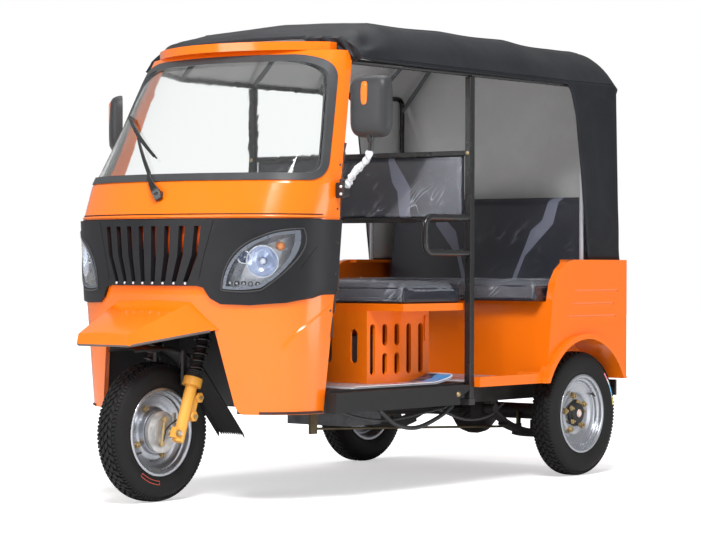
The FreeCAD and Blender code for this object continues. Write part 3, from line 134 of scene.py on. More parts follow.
def seen_directly(tree):
    """1 for rays that should meet a plain white surround, else 0."""
    path = add(tree, "LightPath")
    return calc(tree, "MAXIMUM", path.outputs["Is Camera Ray"], path.outputs["Is Transmission Ray"])


world = bpy.data.worlds.new("white_surround")
bpy.context.scene.world = world
world.use_nodes = True
surround = world.node_tree
white = 1.0
ambient = 0.36
strength = ramp(surround, seen_directly(surround), least=ambient, most=white)
surround.links.new(strength, surround.nodes["Background"].inputs["Strength"])
surround.nodes["Background"].inputs["Color"].default_value = (1.0, 1.0, 1.0, 1.0)

floor_data = bpy.data.meshes.new("floor")
reach = 30.0
floor_data.from_pydata([(-reach, -reach, 0), (reach, -reach, 0), (reach, reach, 0), (-reach, reach, 0)],
                       [], [(0, 1, 2, 3)])
floor = stand("floor", floor_data)
floor_paint, tree, shader = new_material("pale_floor")
mottle = add(tree, "TexNoise", {"Scale": 3.0, "Detail": 3.0})
tone = ramp(tree, mottle.outputs["Fac"], least=0.84, most=0.87)
shade = add(tree, "CombineColor", {0: tone, 1: tone, 2: tone})
away = add(tree, "VectorMath", {0: add(tree, "TexCoord").outputs["Object"]}, operation="LENGTH")
glow = ramp(tree, away.outputs["Value"], 1.6, 5.0, 0.50, 1.0)
lift = calc(tree, "MULTIPLY", seen_directly(tree), glow)
set_shader(tree, shader, Base_Color=shade.outputs[0], Roughness=0.8, Emission_Color=(1.0, 1.0, 1.0, 1.0),
           Emission_Strength=lift)
floor_data.materials.append(floor_paint)

LAMPS = (
    # name, place, size, power
    ("key_lamp", (3.3, -4.4, 6.0), 2.2, 560.0),
    ("front_lamp", (-2.0, -7.5, 3.0), 4.0, 230.0),
    ("top_lamp", (-0.5, 0.5, 6.0), 4.0, 190.0),
    ("cabin_lamp", (4.6, 1.2, 0.75), 2.2, 52.0),
)
for name, place, size, power in LAMPS:
    lamp_data = bpy.data.lights.new(name, "AREA")
    lamp_data.size = size
    lamp_data.energy = power
    lamp = stand(name, lamp_data)
    lamp.location = place
    lamp.rotation_euler = (Vector((0, 0, 0.8)) - lamp.location).to_track_quat("-Z", "Y").to_euler()


# ---------------------------------------------------------------- chassis frame
# Welded box rails and round tube, sprayed with black chassis enamel. The
# enamel is a little uneven and carries road dust low down.
def shader_group(name, inputs, outputs):
    """Node group with named sockets; returns its tree, inputs and output node."""
    tree = bpy.data.node_groups.new(name, "ShaderNodeTree")
    for label, kind, value in inputs:
        socket = tree.interface.new_socket(name=label, in_out="INPUT", socket_type="NodeSocket" + kind)
        socket.default_value = value
    for label, kind in outputs:
        tree.interface.new_socket(name=label, in_out="OUTPUT", socket_type="NodeSocket" + kind)
    return tree, tree.nodes.new("NodeGroupInput").outputs, tree.nodes.new("NodeGroupOutput")


def give(tree, result, **outputs):
    """Link a group's results, and return its tree."""
    for label, value in outputs.items():
        tree.links.new(value, result.inputs[label])
    return tree


def road_dust_group():
    """Pale dust that gathers low down and on faces that look up."""
    tree, given, result = shader_group(
        "road_dust",
        [("Color", "Color", (0, 0, 0, 1)), ("Roughness", "Float", 0.4),
         ("Dust Color", "Color", (0.30, 0.25, 0.19, 1)), ("Amount", "Float", 0.2),
         ("Top", "Float", 0.9)],
        [("Color", "Color"), ("Roughness", "Float"), ("Mask", "Float")])
    place = add(tree, "TexCoord").outputs["Object"]
    height = add(tree, "SeparateXYZ", {0: place})
    low = ramp(tree, height.outputs["Z"], given["Top"], 0.0)
    facing = add(tree, "SeparateXYZ", {0: add(tree, "NewGeometry").outputs["Normal"]})
    up = ramp(tree, facing.outputs["Z"], -0.2, 1.0, 0.25, 1.0)
    cloud = clouds(tree, place, 9.0, 6.0, 0.65)
    mask = ramp(tree, cloud, 0.35, 0.75)
    for factor in (low, up, given["Amount"]):
        mask = calc(tree, "MULTIPLY", mask, factor, use_clamp=True)
    color = blend(tree, mask, given["Color"], given["Dust Color"])
    rough = ramp(tree, mask, least=given["Roughness"], most=0.95)
    return give(tree, result, Color=color, Roughness=rough, Mask=mask)


def paint_film_group():
    """Sprayed film: slow drift of tone, uneven gloss and fine orange peel."""
    tree, given, result = shader_group(
        "paint_film",
        [("Color", "Color", (0.5, 0.5, 0.5, 1)), ("Drift", "Float", 0.05),
         ("Gloss Low", "Float", 0.2), ("Gloss High", "Float", 0.3), ("Peel Scale", "Float", 260.0)],
        [("Color", "Color"), ("Roughness", "Float"), ("Height", "Float")])
    place = add(tree, "TexCoord").outputs["Object"]
    slow = clouds(tree, place, 1.7, 2.0)
    spread = calc(tree, "SUBTRACT", slow, 0.5)
    value = calc(tree, "MULTIPLY_ADD", spread, given["Drift"], 1.0)
    tone = add(tree, "HueSaturation", {"Color": given["Color"], "Value": value})
    wipe = clouds(tree, place, 7.0, 5.0)
    rough = ramp(tree, wipe, 0.3, 0.7, given["Gloss Low"], given["Gloss High"])
    peel = clouds(tree, place, given["Peel Scale"], 1.0)
    return give(tree, result, Color=tone.outputs[0], Roughness=rough, Height=peel)


road_dust = road_dust_group()
paint_film = paint_film_group()


def place_group(tree, group, **inputs):
    """A group in a material; names are the sockets' names with _ for spaces."""
    node = tree.nodes.new("ShaderNodeGroup")
    node.node_tree = group
    for key, value in inputs.items():
        feed(tree, node.inputs[key.replace("_", " ")], value)
    return node.outputs


def painted(name, color, gloss=(0.18, 0.28), drift=0.05, peel=260.0, depth=0.00006, coat=0.0,
            dust=0.0, metallic=0.0):
    """Sprayed enamel of one colour, with dust low down."""
    material, tree, shader = new_material(name)
    film = place_group(tree, paint_film, Color=(*color, 1), Drift=drift, Gloss_Low=gloss[0],
                       Gloss_High=gloss[1], Peel_Scale=peel)
    cover = place_group(tree, road_dust, Color=film["Color"], Roughness=film["Roughness"], Amount=dust)
    set_shader(tree, shader, film["Height"], depth, Base_Color=cover["Color"],
               Roughness=cover["Roughness"], Coat_Weight=coat, Coat_Roughness=0.06, Metallic=metallic)
    return material


def dress(material, *names):
    """Give CAD nodes their material."""
    for name in names:
        if not nodes[name].material_slots:
            nodes[name].data.materials.append(material)
        for item in nodes[name].material_slots:
            item.material = material


chassis_black = painted("chassis_black", (0.012, 0.012, 0.013), gloss=(0.32, 0.5), drift=0.4, dust=0.35)
dress(chassis_black, "chassis_frame", "rear_bumper")


# ---------------------------------------------------------------- engine and driveline
# Cast and pressed parts under the floor: engine, propeller shaft, rear axle
# with its final drive, leaf springs, exhaust and the brake pull rod.
def cast_grain_group():
    """Sand-cast or forged skin: pits, blotches and a rough height."""
    tree, given, result = shader_group(
        "cast_grain",
        [("Color", "Color", (0.2, 0.2, 0.2, 1)), ("Stain", "Color", (0.08, 0.06, 0.05, 1)),
         ("Scale", "Float", 90.0), ("Stain Amount", "Float", 0.5)],
        [("Color", "Color"), ("Roughness", "Float"), ("Height", "Float")])
    place = add(tree, "TexCoord").outputs["Object"]
    pits = add(tree, "TexVoronoi", {"Vector": place, "Scale": given["Scale"]})
    cloud = clouds(tree, place, 14.0, 8.0, 0.7)
    patch = ramp(tree, cloud, 0.42, 0.68)
    mask = calc(tree, "MULTIPLY", patch, given["Stain Amount"])
    color = blend(tree, mask, given["Color"], given["Stain"])
    rough = ramp(tree, cloud, least=0.35, most=0.8)
    height = calc(tree, "ADD", pits.outputs["Distance"], cloud)
    return give(tree, result, Color=color, Roughness=rough, Height=height)


cast_grain = cast_grain_group()


def cast_metal(name, color, stain, metallic=0.6, amount=0.5, scale=90.0, depth=0.0004):
    """Cast, forged or plated metal with stains."""
    material, tree, shader = new_material(name)
    skin = place_group(tree, cast_grain, Color=(*color, 1), Stain=(*stain, 1), Stain_Amount=amount,
                       Scale=scale)
    set_shader(tree, shader, skin["Height"], depth, Base_Color=skin["Color"],
               Roughness=skin["Roughness"], Metallic=metallic)
    return material


engine_metal = cast_metal("engine_casting", (0.16, 0.16, 0.17), (0.05, 0.045, 0.04))
axle_black = cast_metal("axle_black", (0.016, 0.016, 0.017), (0.05, 0.042, 0.035), metallic=0.2)
exhaust_steel = cast_metal("exhaust_steel", (0.20, 0.17, 0.14), (0.12, 0.06, 0.03), metallic=0.8, amount=0.8)
passivated_brass = cast_metal("passivated_brass", (0.13, 0.105, 0.065), (0.07, 0.04, 0.02), metallic=0.9,
                              amount=0.5, depth=0.0001)
dress(engine_metal, "engine_block")
dress(axle_black, "propshaft", "rear_axle", "leaf_springs")
dress(exhaust_steel, "exhaust")
dress(passivated_brass, "brake_linkage")


# ---------------------------------------------------------------- rims
# Rolled and pressed steel rims under silver lacquer: a stepped drop centre, a
# pressed disc, a black cast hub with plated nuts behind and a drum in front.
def ease_edges(obj, name, width, angle):
    """Round the sharper edges of an object."""
    bevel = obj.modifiers.new(name, "BEVEL")
    bevel.width = width
    bevel.segments = 2
    bevel.limit_method = "ANGLE"
    bevel.angle_limit = math.radians(angle)


def piece(name, source, material, body="root", crease=35.0, soften=0.0):
    """Turn a bmesh into an object that rides on a body."""
    data = bpy.data.meshes.new(name)
    bmesh.ops.recalc_face_normals(source, faces=source.faces)
    source.to_mesh(data)
    source.free()
    data.materials.append(material)
    data.shade_smooth()
    data.set_sharp_from_angle(angle=math.radians(crease))
    obj = stand(name, data)
    if soften:
        ease_edges(obj, "soft_edges", soften, 35)
    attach(obj, body)
    return obj


def quads(source, rows, closed=False, capped=False):
    """Faces between neighbouring rows; a row of one vertex ends in a fan."""
    for one, other in zip(rows, rows[1:]):
        count = len(one)
        for a in range(count if closed else count - 1):
            b = (a + 1) % count
            far = (other[b], other[a]) if len(other) > 1 else (other[0],)
            source.faces.new((one[a], one[b]) + far)
    if capped:
        source.faces.new(list(reversed(rows[0])))
        source.faces.new(rows[-1])


def turned(source, profile, centre, axis=(1, 0, 0), steps=96):
    """Add a surface of revolution; the profile is (along, radius) points."""
    spin = Vector((1, 0, 0)).rotation_difference(Vector(axis))
    centre = Vector(centre)
    rings = []
    for along, radius in profile:
        count = steps if radius > 1e-5 else 1
        ring = []
        for step in range(count):
            turn = 2 * math.pi * step / steps
            offset = Vector((along, radius * math.cos(turn), radius * math.sin(turn)))
            ring.append(source.verts.new(centre + spin @ offset))
        rings.append(ring)
    for one, other in zip(rings, rings[1:]):
        for a in range(steps):
            b = (a + 1) % steps
            corners = [one[a % len(one)], other[a % len(other)], other[b % len(other)], one[b % len(one)]]
            kept = [v for k, v in enumerate(corners) if v not in corners[:k]]
            if len(kept) > 2:
                source.faces.new(kept)


def rounded(points, radius=0.002, steps=3):
    """Profile points with each inner corner replaced by a small arc."""
    result = [points[0]]
    for before, corner, after in zip(points, points[1:], points[2:]):
        p, c, q = Vector(before), Vector(corner), Vector(after)
        cut = min(radius, 0.45 * (p - c).length, 0.45 * (q - c).length)
        start = c + (p - c).normalized() * cut
        end = c + (q - c).normalized() * cut
        for step in range(steps + 1):
            t = step / steps
            result.append(tuple(start * (1 - t) ** 2 + c * 2 * t * (1 - t) + end * t ** 2))
    return result + [points[-1]]


silver_lacquer = painted("silver_lacquer", (0.44, 0.46, 0.50), gloss=(0.22, 0.34), drift=0.12,
                         peel=420.0, depth=0.00004, metallic=0.85, dust=0.1)
hub_black = cast_metal("hub_black", (0.02, 0.02, 0.021), (0.06, 0.05, 0.045), metallic=0.3)
plated_brass = cast_metal("plated_brass", (0.48, 0.37, 0.20), (0.24, 0.14, 0.06), metallic=0.95,
                          amount=0.5, scale=300.0, depth=0.00008)

LIP = [(0.043, 0.160), (0.0435, 0.170), (0.0455, 0.172), (0.0478, 0.170), (0.0480, 0.162),
       (0.0455, 0.1560), (0.0400, 0.1545), (0.0330, 0.1535), (0.0300, 0.1500), (0.0285, 0.1445),
       (0.0240, 0.1425), (0.0175, 0.1415)]
REAR_DISC = [(0.0150, 0.1380), (0.0140, 0.1290), (0.0120, 0.1180), (0.0050, 0.1000), (0.0040, 0.0900),
             (0.0060, 0.0780), (0.0060, 0.0560), (0.0000, 0.0480), (0.0000, 0.0175)]
FRONT_DISC = [(0.0150, 0.1380), (0.0110, 0.1300), (0.0070, 0.1180), (0.0030, 0.1080), (0.0020, 0.0960),
              (0.0050, 0.0860), (0.0120, 0.0845), (0.0280, 0.0835), (0.0290, 0.0805), (0.0270, 0.0200)]
BARREL = [(-0.0430, 0.1600), (-0.0435, 0.1700), (-0.0455, 0.1720), (-0.0478, 0.1700),
          (-0.0480, 0.1620), (-0.0455, 0.1560), (-0.0400, 0.1545), (-0.0200, 0.1500), (0.0000, 0.1470)]
DISC_BACK = [(0.0020, 0.1380), (-0.0020, 0.1200), (-0.0060, 0.1000), (-0.0070, 0.0560), (-0.0080, 0.0175)]


def rim_mesh(source, face, centre, side):
    """One closed skin: outer face, bead seats and the disc's back."""
    profile = list(reversed(face)) + list(reversed(LIP)) + BARREL + DISC_BACK + [face[-1]]
    turned(source, [(side * x, r) for x, r in rounded(profile, 0.0015)], centre, steps=128)


def nut(source, centre, side, radius=0.0095, height=0.011):
    """Hexagon nut with a washer and the stud's end."""
    turned(source, [(0, radius * 1.5), (side * 0.002, radius * 1.5), (side * 0.002, radius * 0.4)],
           centre, steps=20)
    turned(source, [(0, radius * 1.15), (side * height * 0.85, radius * 1.15), (side * height, radius * 0.9),
                    (side * height, radius * 0.5)], centre, steps=6)
    turned(source, [(side * height * 0.9, radius * 0.55), (side * (height + 0.006), radius * 0.5),
                    (side * (height + 0.007), 0)], centre, steps=12)


def ring_places(centre, radius, count, start, x):
    """Even places on a circle about an axis along X."""
    for index in range(count):
        turn = math.radians(start) + 2 * math.pi * index / count
        yield (x, centre[1] + radius * math.cos(turn), centre[2] + radius * math.sin(turn))


def middle(name):
    """Middle of a node's box."""
    low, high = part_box(name)
    return (low + high) / 2


VALVE = [(-0.004, 0.0), (-0.004, 0.006), (0.010, 0.0055), (0.014, 0.004), (0.026, 0.0038), (0.028, 0.0)]
for label in ("rear_left", "rear_right"):
    body = label + "_wheel"
    centre = middle(label + "_tyre")
    side = 1 if centre.x > 0 else -1
    shell = bmesh.new()
    rim_mesh(shell, REAR_DISC, centre, side)
    wheel = piece(label + "_wheel_rim", shell, silver_lacquer, body, crease=50)
    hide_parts(label + "_rim")
    hub = bmesh.new()
    turned(hub, [(side * x, r) for x, r in rounded([
        (0.002, 0.054), (0.012, 0.053), (0.016, 0.047), (0.026, 0.044), (0.030, 0.038), (0.030, 0.0)],
        0.002)], centre, steps=48)
    for place in ring_places(centre, 0.047, 5, 80, centre.x + side * 0.006):
        turned(hub, [(0, 0.014), (side * 0.012, 0.013), (side * 0.012, 0.0)], place, steps=16)
    turned(hub, [(side * 0.020, 0.0195), (side * 0.0255, 0.0195), (side * 0.0255, 0.017)], centre, steps=32)
    piece(label + "_hub", hub, hub_black, body)
    nuts = bmesh.new()
    for place in ring_places(centre, 0.048, 5, 80, centre.x + side * 0.017):
        nut(nuts, place, side, 0.0085, 0.009)
    for place in ring_places(centre, 0.078, 5, 27, centre.x + side * 0.006):
        nut(nuts, place, side, 0.0100, 0.012)
    piece(label + "_nuts", nuts, plated_brass, body)
    valve = bmesh.new()
    root = Vector(next(ring_places(centre, 0.1440, 1, 34, centre.x + side * 0.020)))
    inward = (centre - root) * Vector((0, 1, 1))
    lean = (inward.normalized() * 0.6 + Vector((side * 0.8, 0, 0))).normalized()
    turned(valve, VALVE, root, axis=lean, steps=16)
    piece(label + "_valve", valve, hub_black, body)


def moulded_grain_group():
    """Moulded rubber or plastic: fine pimples, soft drift of tone."""
    tree, given, result = shader_group(
        "moulded_grain",
        [("Color", "Color", (0.02, 0.02, 0.02, 1)), ("Bloom", "Color", (0.06, 0.06, 0.06, 1)),
         ("Bloom Amount", "Float", 0.4), ("Scale", "Float", 900.0),
         ("Gloss Low", "Float", 0.4), ("Gloss High", "Float", 0.6)],
        [("Color", "Color"), ("Roughness", "Float"), ("Height", "Float")])
    place = add(tree, "TexCoord").outputs["Object"]
    cloud = clouds(tree, place, 6.0, 7.0, 0.6)
    patch = ramp(tree, cloud, 0.4, 0.75)
    mask = calc(tree, "MULTIPLY", patch, given["Bloom Amount"])
    color = blend(tree, mask, given["Color"], given["Bloom"])
    rough = ramp(tree, cloud, 0.3, 0.7, given["Gloss Low"], given["Gloss High"])
    pimples = add(tree, "TexVoronoi", {"Vector": place, "Scale": given["Scale"]})
    return give(tree, result, Color=color, Roughness=rough, Height=pimples.outputs["Distance"])


moulded_grain = moulded_grain_group()


def moulded(name, color, bloom, gloss=(0.4, 0.6), amount=0.4, scale=900.0, depth=0.0001, coat=0.0):
    """Rubber or plastic of one colour, with a paler bloom."""
    material, tree, shader = new_material(name)
    skin = place_group(tree, moulded_grain, Color=(*color, 1), Bloom=(*bloom, 1), Bloom_Amount=amount,
                       Scale=scale, Gloss_Low=gloss[0], Gloss_High=gloss[1])
    set_shader(tree, shader, skin["Height"], depth, Base_Color=skin["Color"],
               Roughness=skin["Roughness"], Coat_Weight=coat, Specular_IOR_Level=0.24)
    return material


cap_cream = moulded("cap_cream", (0.70, 0.66, 0.60), (0.60, 0.55, 0.48), gloss=(0.25, 0.4), amount=0.3)
cap_red = moulded("cap_red", (0.55, 0.03, 0.02), (0.45, 0.04, 0.03), gloss=(0.25, 0.4), amount=0.3)
for label in ("rear_left", "rear_right"):
    centre = middle(label + "_tyre")
    side = 1 if centre.x > 0 else -1
    cap = bmesh.new()
    turned(cap, [(side * 0.0300, 0.0175), (side * 0.0325, 0.0160), (side * 0.0328, 0.0)], centre, steps=32)
    piece(label + "_cap", cap, cap_cream, label + "_wheel")
    band = bmesh.new()
    turned(band, [(side * 0.0326, 0.0150), (side * 0.0334, 0.0140), (side * 0.0326, 0.0125)], centre,
           steps=32)
    piece(label + "_cap_ring", band, cap_red, label + "_wheel")

centre = middle("front_tyre")
shell = bmesh.new()
rim_mesh(shell, FRONT_DISC, centre, 1)
wheel = piece("front_wheel_rim", shell, silver_lacquer, "front_wheel", crease=50)
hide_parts("front_rim")
studs = bmesh.new()
for place in ring_places(centre, 0.102, 4, 28, centre.x + 0.003):
    nut(studs, place, 1, 0.0095, 0.011)
piece("front_studs", studs, plated_brass, "front_wheel")
valve = bmesh.new()
turned(valve, VALVE, next(ring_places(centre, 0.143, 1, 215, centre.x + 0.018)), axis=(0.8, 0.5, 0.35),
       steps=16)
piece("front_valve", valve, hub_black, "front_wheel")


# ---------------------------------------------------------------- tyres
# Cross-ply rubber tyres: two staggered rows of slanted blocks, shoulder blocks
# that run out into fine ribs, and plain sidewalls with raised rings.
tyre_rubber = moulded("tyre_rubber", (0.008, 0.008, 0.0085), (0.020, 0.0195, 0.019), gloss=(0.5, 0.72))
TREAD_LINE = [(0.0, 0.2700), (0.015, 0.2700), (0.033, 0.2680), (0.044, 0.2610), (0.0500, 0.2490),
              (0.0530, 0.2370)]
LINE_AT = [0.0]
for (x0, r0), (x1, r1) in zip(TREAD_LINE, TREAD_LINE[1:]):
    LINE_AT.append(LINE_AT[-1] + math.hypot(x1 - x0, r1 - r0))


def tread_point(distance, depth):
    """Place (x, radius) at a distance out from the tread's middle."""
    side = -1 if distance < 0 else 1
    x = np.interp(abs(distance), LINE_AT, [p[0] for p in TREAD_LINE])
    r = np.interp(abs(distance), LINE_AT, [p[1] for p in TREAD_LINE])
    ahead = abs(distance) + 0.002
    dx = np.interp(ahead, LINE_AT, [p[0] for p in TREAD_LINE]) - x
    dr = np.interp(ahead, LINE_AT, [p[1] for p in TREAD_LINE]) - r
    length = math.hypot(dx, dr) or 1.0
    return side * (x + dr / length * depth), r - dx / length * depth


# Rows of lugs: near edge and far edge from the middle, how many round the
# tyre, length share, slant of near and far edges in pitches, start, depth
LUG_ROWS = (
    (0.0015, 0.0165, 52, 0.62, 0.10, -0.22, 0.00, 0.007),
    (0.0195, 0.0360, 52, 0.60, -0.20, 0.12, 0.50, 0.007),
    (0.0385, 0.0520, 104, 0.55, 0.00, 0.00, 0.25, 0.004),
)


def lug(source, centre, near, far, start, end, slant, depth):
    """One rubber block with drafted walls, its top on the tread line."""
    columns = []
    for share in (0.0, 0.5, 1.0):
        distance = near + (far - near) * share
        shift = slant[0] + (slant[1] - slant[0]) * share
        column = []
        for turn, level, spread in ((start, depth, -1), (start, 0.0, 0), (end, 0.0, 0), (end, depth, 1)):
            widen = 0.0012 * spread / 0.27
            x, radius = tread_point(distance, level)
            angle = turn + shift + widen
            column.append(source.verts.new((centre.x + x, centre.y + radius * math.cos(angle),
                                            centre.z + radius * math.sin(angle))))
        columns.append(column)
    quads(source, columns)
    source.faces.new(columns[0])
    source.faces.new(list(reversed(columns[2])))


CARCASS = [(0.0, 0.2635), (0.016, 0.2635), (0.032, 0.2612), (0.0415, 0.2560), (0.0475, 0.2470),
           (0.0520, 0.2400), (0.0540, 0.2330), (0.0540, 0.2310), (0.0548, 0.2290), (0.0550, 0.2150),
           (0.0545, 0.2050), (0.0525, 0.1930), (0.0522, 0.1915), (0.0508, 0.1900), (0.0480, 0.1800),
           (0.0440, 0.1735), (0.0426, 0.1700), (0.0424, 0.1610)]

for name, body in (("front_tyre", "front_wheel"), ("rear_left_tyre", "rear_left_wheel"),
                   ("rear_right_tyre", "rear_right_wheel")):
    centre = middle(name)
    rubber = bmesh.new()
    half = rounded(CARCASS, 0.002)
    turned(rubber, list(reversed(half)) + [(-x, r) for x, r in half[1:]], centre, steps=160)
    for near, far, count, share, slant_a, slant_b, first, depth in LUG_ROWS:
        pitch = 2 * math.pi / count
        for side in (1, -1):
            for index in range(count):
                begin = (index + first + (0.5 if side < 0 else 0.0)) * pitch
                lug(rubber, centre, side * near, side * far, begin, begin + share * pitch,
                    (slant_a * pitch * side, slant_b * pitch * side), depth)
    tyre = piece(name + "_treaded", rubber, tyre_rubber, body, crease=30, soften=0.0007)
    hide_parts(name)


def sidewall_strip(source, centre, x, edges, start, end, rows=24):
    """Thin curved strip on a tyre's sidewall between two radii."""
    loops = []
    for row in range(rows + 1):
        turn = math.radians(start + (end - start) * row / rows)
        loops.append([source.verts.new((x, centre.y + r * math.cos(turn), centre.z + r * math.sin(turn)))
                      for r in edges])
    quads(source, loops)


# A blank moulded label with a red outline in front, and a band of four
# colour marks on the left rear tyre.
label_red = moulded("label_red", (0.62, 0.10, 0.07), (0.40, 0.10, 0.08), gloss=(0.4, 0.5), amount=0.5)
centre = middle("front_tyre")
outline = bmesh.new()
for edges, start, end in (((0.188, 0.190), -127, -96), ((0.2015, 0.2035), -127, -96),
                          ((0.188, 0.2035), -127.5, -126.9), ((0.188, 0.2035), -96.2, -95.6)):
    sidewall_strip(outline, centre, centre.x + 0.0556, edges, start, end)
piece("front_tyre_label", outline, label_red, "front_wheel")
centre = middle("rear_left_tyre")
for tint, color, start, end in (("pink", (0.80, 0.25, 0.30), 47, 38), ("white", (0.75, 0.75, 0.75), 38, 31),
                                ("blue", (0.20, 0.50, 0.75), 31, 17), ("yellow", (0.65, 0.55, 0.15), 17, 7)):
    mark = bmesh.new()
    sidewall_strip(mark, centre, centre.x + 0.0557, (0.2285, 0.2365), start, end, 12)
    chalk = moulded("tyre_mark_" + tint, color, tuple(0.7 * c for c in color), gloss=(0.5, 0.7), amount=0.6)
    piece("tyre_mark_" + tint, mark, chalk, "rear_left_wheel")


# ---------------------------------------------------------------- front fork
# Telescopic fork: gold enamelled legs, black coil springs over ribbed boots,
# black crown and handlebar with ribbed rubber grips, polished brake plate.
fork_gold = painted("fork_gold", (0.80, 0.38, 0.055), gloss=(0.25, 0.38), drift=0.15, dust=0.1)
satin_black = painted("satin_black", (0.014, 0.014, 0.015), gloss=(0.22, 0.34), drift=0.2, dust=0.12)
drum_metal = cast_metal("drum_metal", (0.62, 0.62, 0.62), (0.40, 0.39, 0.37), metallic=0.9, amount=0.5,
                        scale=160.0, depth=0.0001)
grip_rubber = moulded("grip_rubber", (0.018, 0.018, 0.018), (0.03, 0.03, 0.03))
black_plastic = moulded("black_plastic", (0.011, 0.0115, 0.0135), (0.020, 0.021, 0.024), gloss=(0.34, 0.46),
                        amount=0.5, scale=700.0, depth=0.00012)
dress(fork_gold, "fork_lower_legs")
dress(satin_black, "fork_crown", "handlebar")
dress(drum_metal, "front_axle")

steering = next(joint for joint in frame["joints"] if joint["name"] == "steering")
pivot = Vector(steering["pos_m"])
steer_up = Vector(steering["axis"]).normalized()
steer_back = Vector((1, 0, 0)).cross(steer_up) * -1


def on_fork(x, back, along):
    """Point beside, behind and along the steering axis."""
    return pivot + Vector((x, 0, 0)) + steer_back * back + steer_up * along


def tube(source, points, radius, sides=12, closed=False):
    """Round tube through points, with frames carried along without twist."""
    points = [Vector(p) for p in points]
    count = len(points)
    across = None
    rings = []
    for k, point in enumerate(points):
        before = points[k - 1] if k or closed else point
        after = points[(k + 1) % count] if k < count - 1 or closed else point
        run = (after - before).normalized()
        if across is None:
            across = run.orthogonal().normalized()
        across = (across - run * across.dot(run)).normalized()
        other = run.cross(across)
        size = radius[k] if hasattr(radius, "__len__") else radius
        rings.append([source.verts.new(point + (across * math.cos(t) + other * math.sin(t)) * size)
                      for t in (2 * math.pi * i / sides for i in range(sides))])
    quads(source, rings + rings[:1] if closed else rings, closed=True, capped=not closed)


def flowing(points, steps=6):
    """Points along a smooth line through the given ones."""
    points = [Vector(p) for p in points]
    padded = [points[0] * 2 - points[1]] + points + [points[-1] * 2 - points[-2]]
    line = []
    for a, b, c, d in zip(padded, padded[1:], padded[2:], padded[3:]):
        for step in range(steps):
            t = step / steps
            line.append(0.5 * (2 * b + (c - a) * t + (2 * a - 5 * b + 4 * c - d) * t * t
                               + (3 * b - a - 3 * c + d) * t ** 3))
    return line + [points[-1]]


LEG_X = 0.120
LEG_BACK = -0.021
COIL_RADIUS = 0.0285
COIL_TURNS = 7.5
COIL_LOW, COIL_HIGH = 0.226, 0.441
coil = bmesh.new()
boots = bmesh.new()
for side in (1, -1):
    path = []
    count = int(COIL_TURNS * 20)
    for step in range(count + 1):
        turn = 2 * math.pi * step / 20
        path.append(on_fork(side * (LEG_X + COIL_RADIUS * math.cos(turn)),
                            LEG_BACK + COIL_RADIUS * math.sin(turn),
                            COIL_LOW + (COIL_HIGH - COIL_LOW) * step / count))
    tube(coil, path, 0.0048, sides=8)
    seat = on_fork(side * LEG_X, LEG_BACK, 0.213)
    profile = [(0.0, 0.0335)]
    for ring in range(4):
        profile += [(0.003 + 0.008 * ring, 0.0338), (0.006 + 0.008 * ring, 0.0300)]
    profile += [(0.034, 0.0240), (0.228, 0.0190)]
    turned(boots, rounded(profile, 0.0015), seat, axis=steer_up, steps=40)
springs = piece("fork_coils", coil, satin_black, "fork", crease=60)
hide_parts("fork_springs")
piece("fork_boots", boots, grip_rubber, "fork")

# Bracket bosses on the legs, with their bolts, and the pinch bolts below
bosses = bmesh.new()
bolts = bmesh.new()
for side in (1, -1):
    x = side * LEG_X
    for along, reach in ((0.148, 0.046), (0.070, 0.040)):
        turned(bosses, rounded([(0, 0.0), (0, 0.0225), (0.036, 0.0215), (0.036, 0.0)], 0.003),
               on_fork(x - 0.018, LEG_BACK + reach, along), steps=6)
        for face in (1, -1):
            head = [(0, 0.0), (0, 0.0085), (0.006 * face, 0.0085), (0.007 * face, 0.0065), (0.007 * face, 0)]
            turned(bolts, head, on_fork(x + face * 0.018, LEG_BACK + reach, along), steps=6)
    for face in (1, -1):
        head = [(face * x0, r0) for x0, r0 in ((0, 0.014), (0.003, 0.0135), (0.003, 0.0115), (0.011, 0.0115),
                                               (0.013, 0.009), (0.013, 0.0))]
        turned(bolts, head, (x + face * 0.012, pivot.y - 0.047, pivot.z), steps=6)
piece("leg_bosses", bosses, fork_gold, "fork")
piece("leg_bolts", bolts, plated_brass, "fork")

# Brake plate: ribbed polished casting with a plated lever and cable end
hub = middle("front_tyre")
lever = bmesh.new()
route = [hub + Vector(p) for p in ((0.0850, -0.026, 0.052), (0.0850, -0.030, 0.020), (0.0850, -0.036, -0.012),
                                   (0.0850, -0.041, -0.042))]
for a, b in zip(route, route[1:]):
    tube(lever, [a, b], 0.0065, sides=6)
for end in (route[0], route[-1]):
    turned(lever, rounded([(-0.007, 0.0), (-0.007, 0.011), (0.007, 0.011), (0.007, 0.0)], 0.001), end,
           steps=20)
piece("brake_lever", lever, plated_brass, "fork")
cable = bmesh.new()
tube(cable, flowing([on_fork(0.098, 0.030, 0.400), on_fork(0.085, 0.045, 0.300), on_fork(0.080, 0.036, 0.180),
                     on_fork(0.088, 0.010, 0.080), hub + Vector((0.088, -0.010, 0.020)),
                     hub + Vector((0.088, -0.036, -0.036))], 8), 0.0032, sides=8)
tube(cable, [hub + Vector((0.060, 0.010, -0.030)), hub + Vector((0.080, 0.070, 0.010)),
             hub + Vector((0.092, 0.110, 0.050))], 0.0042, sides=8)
piece("brake_cable", cable, grip_rubber, "fork", crease=60)

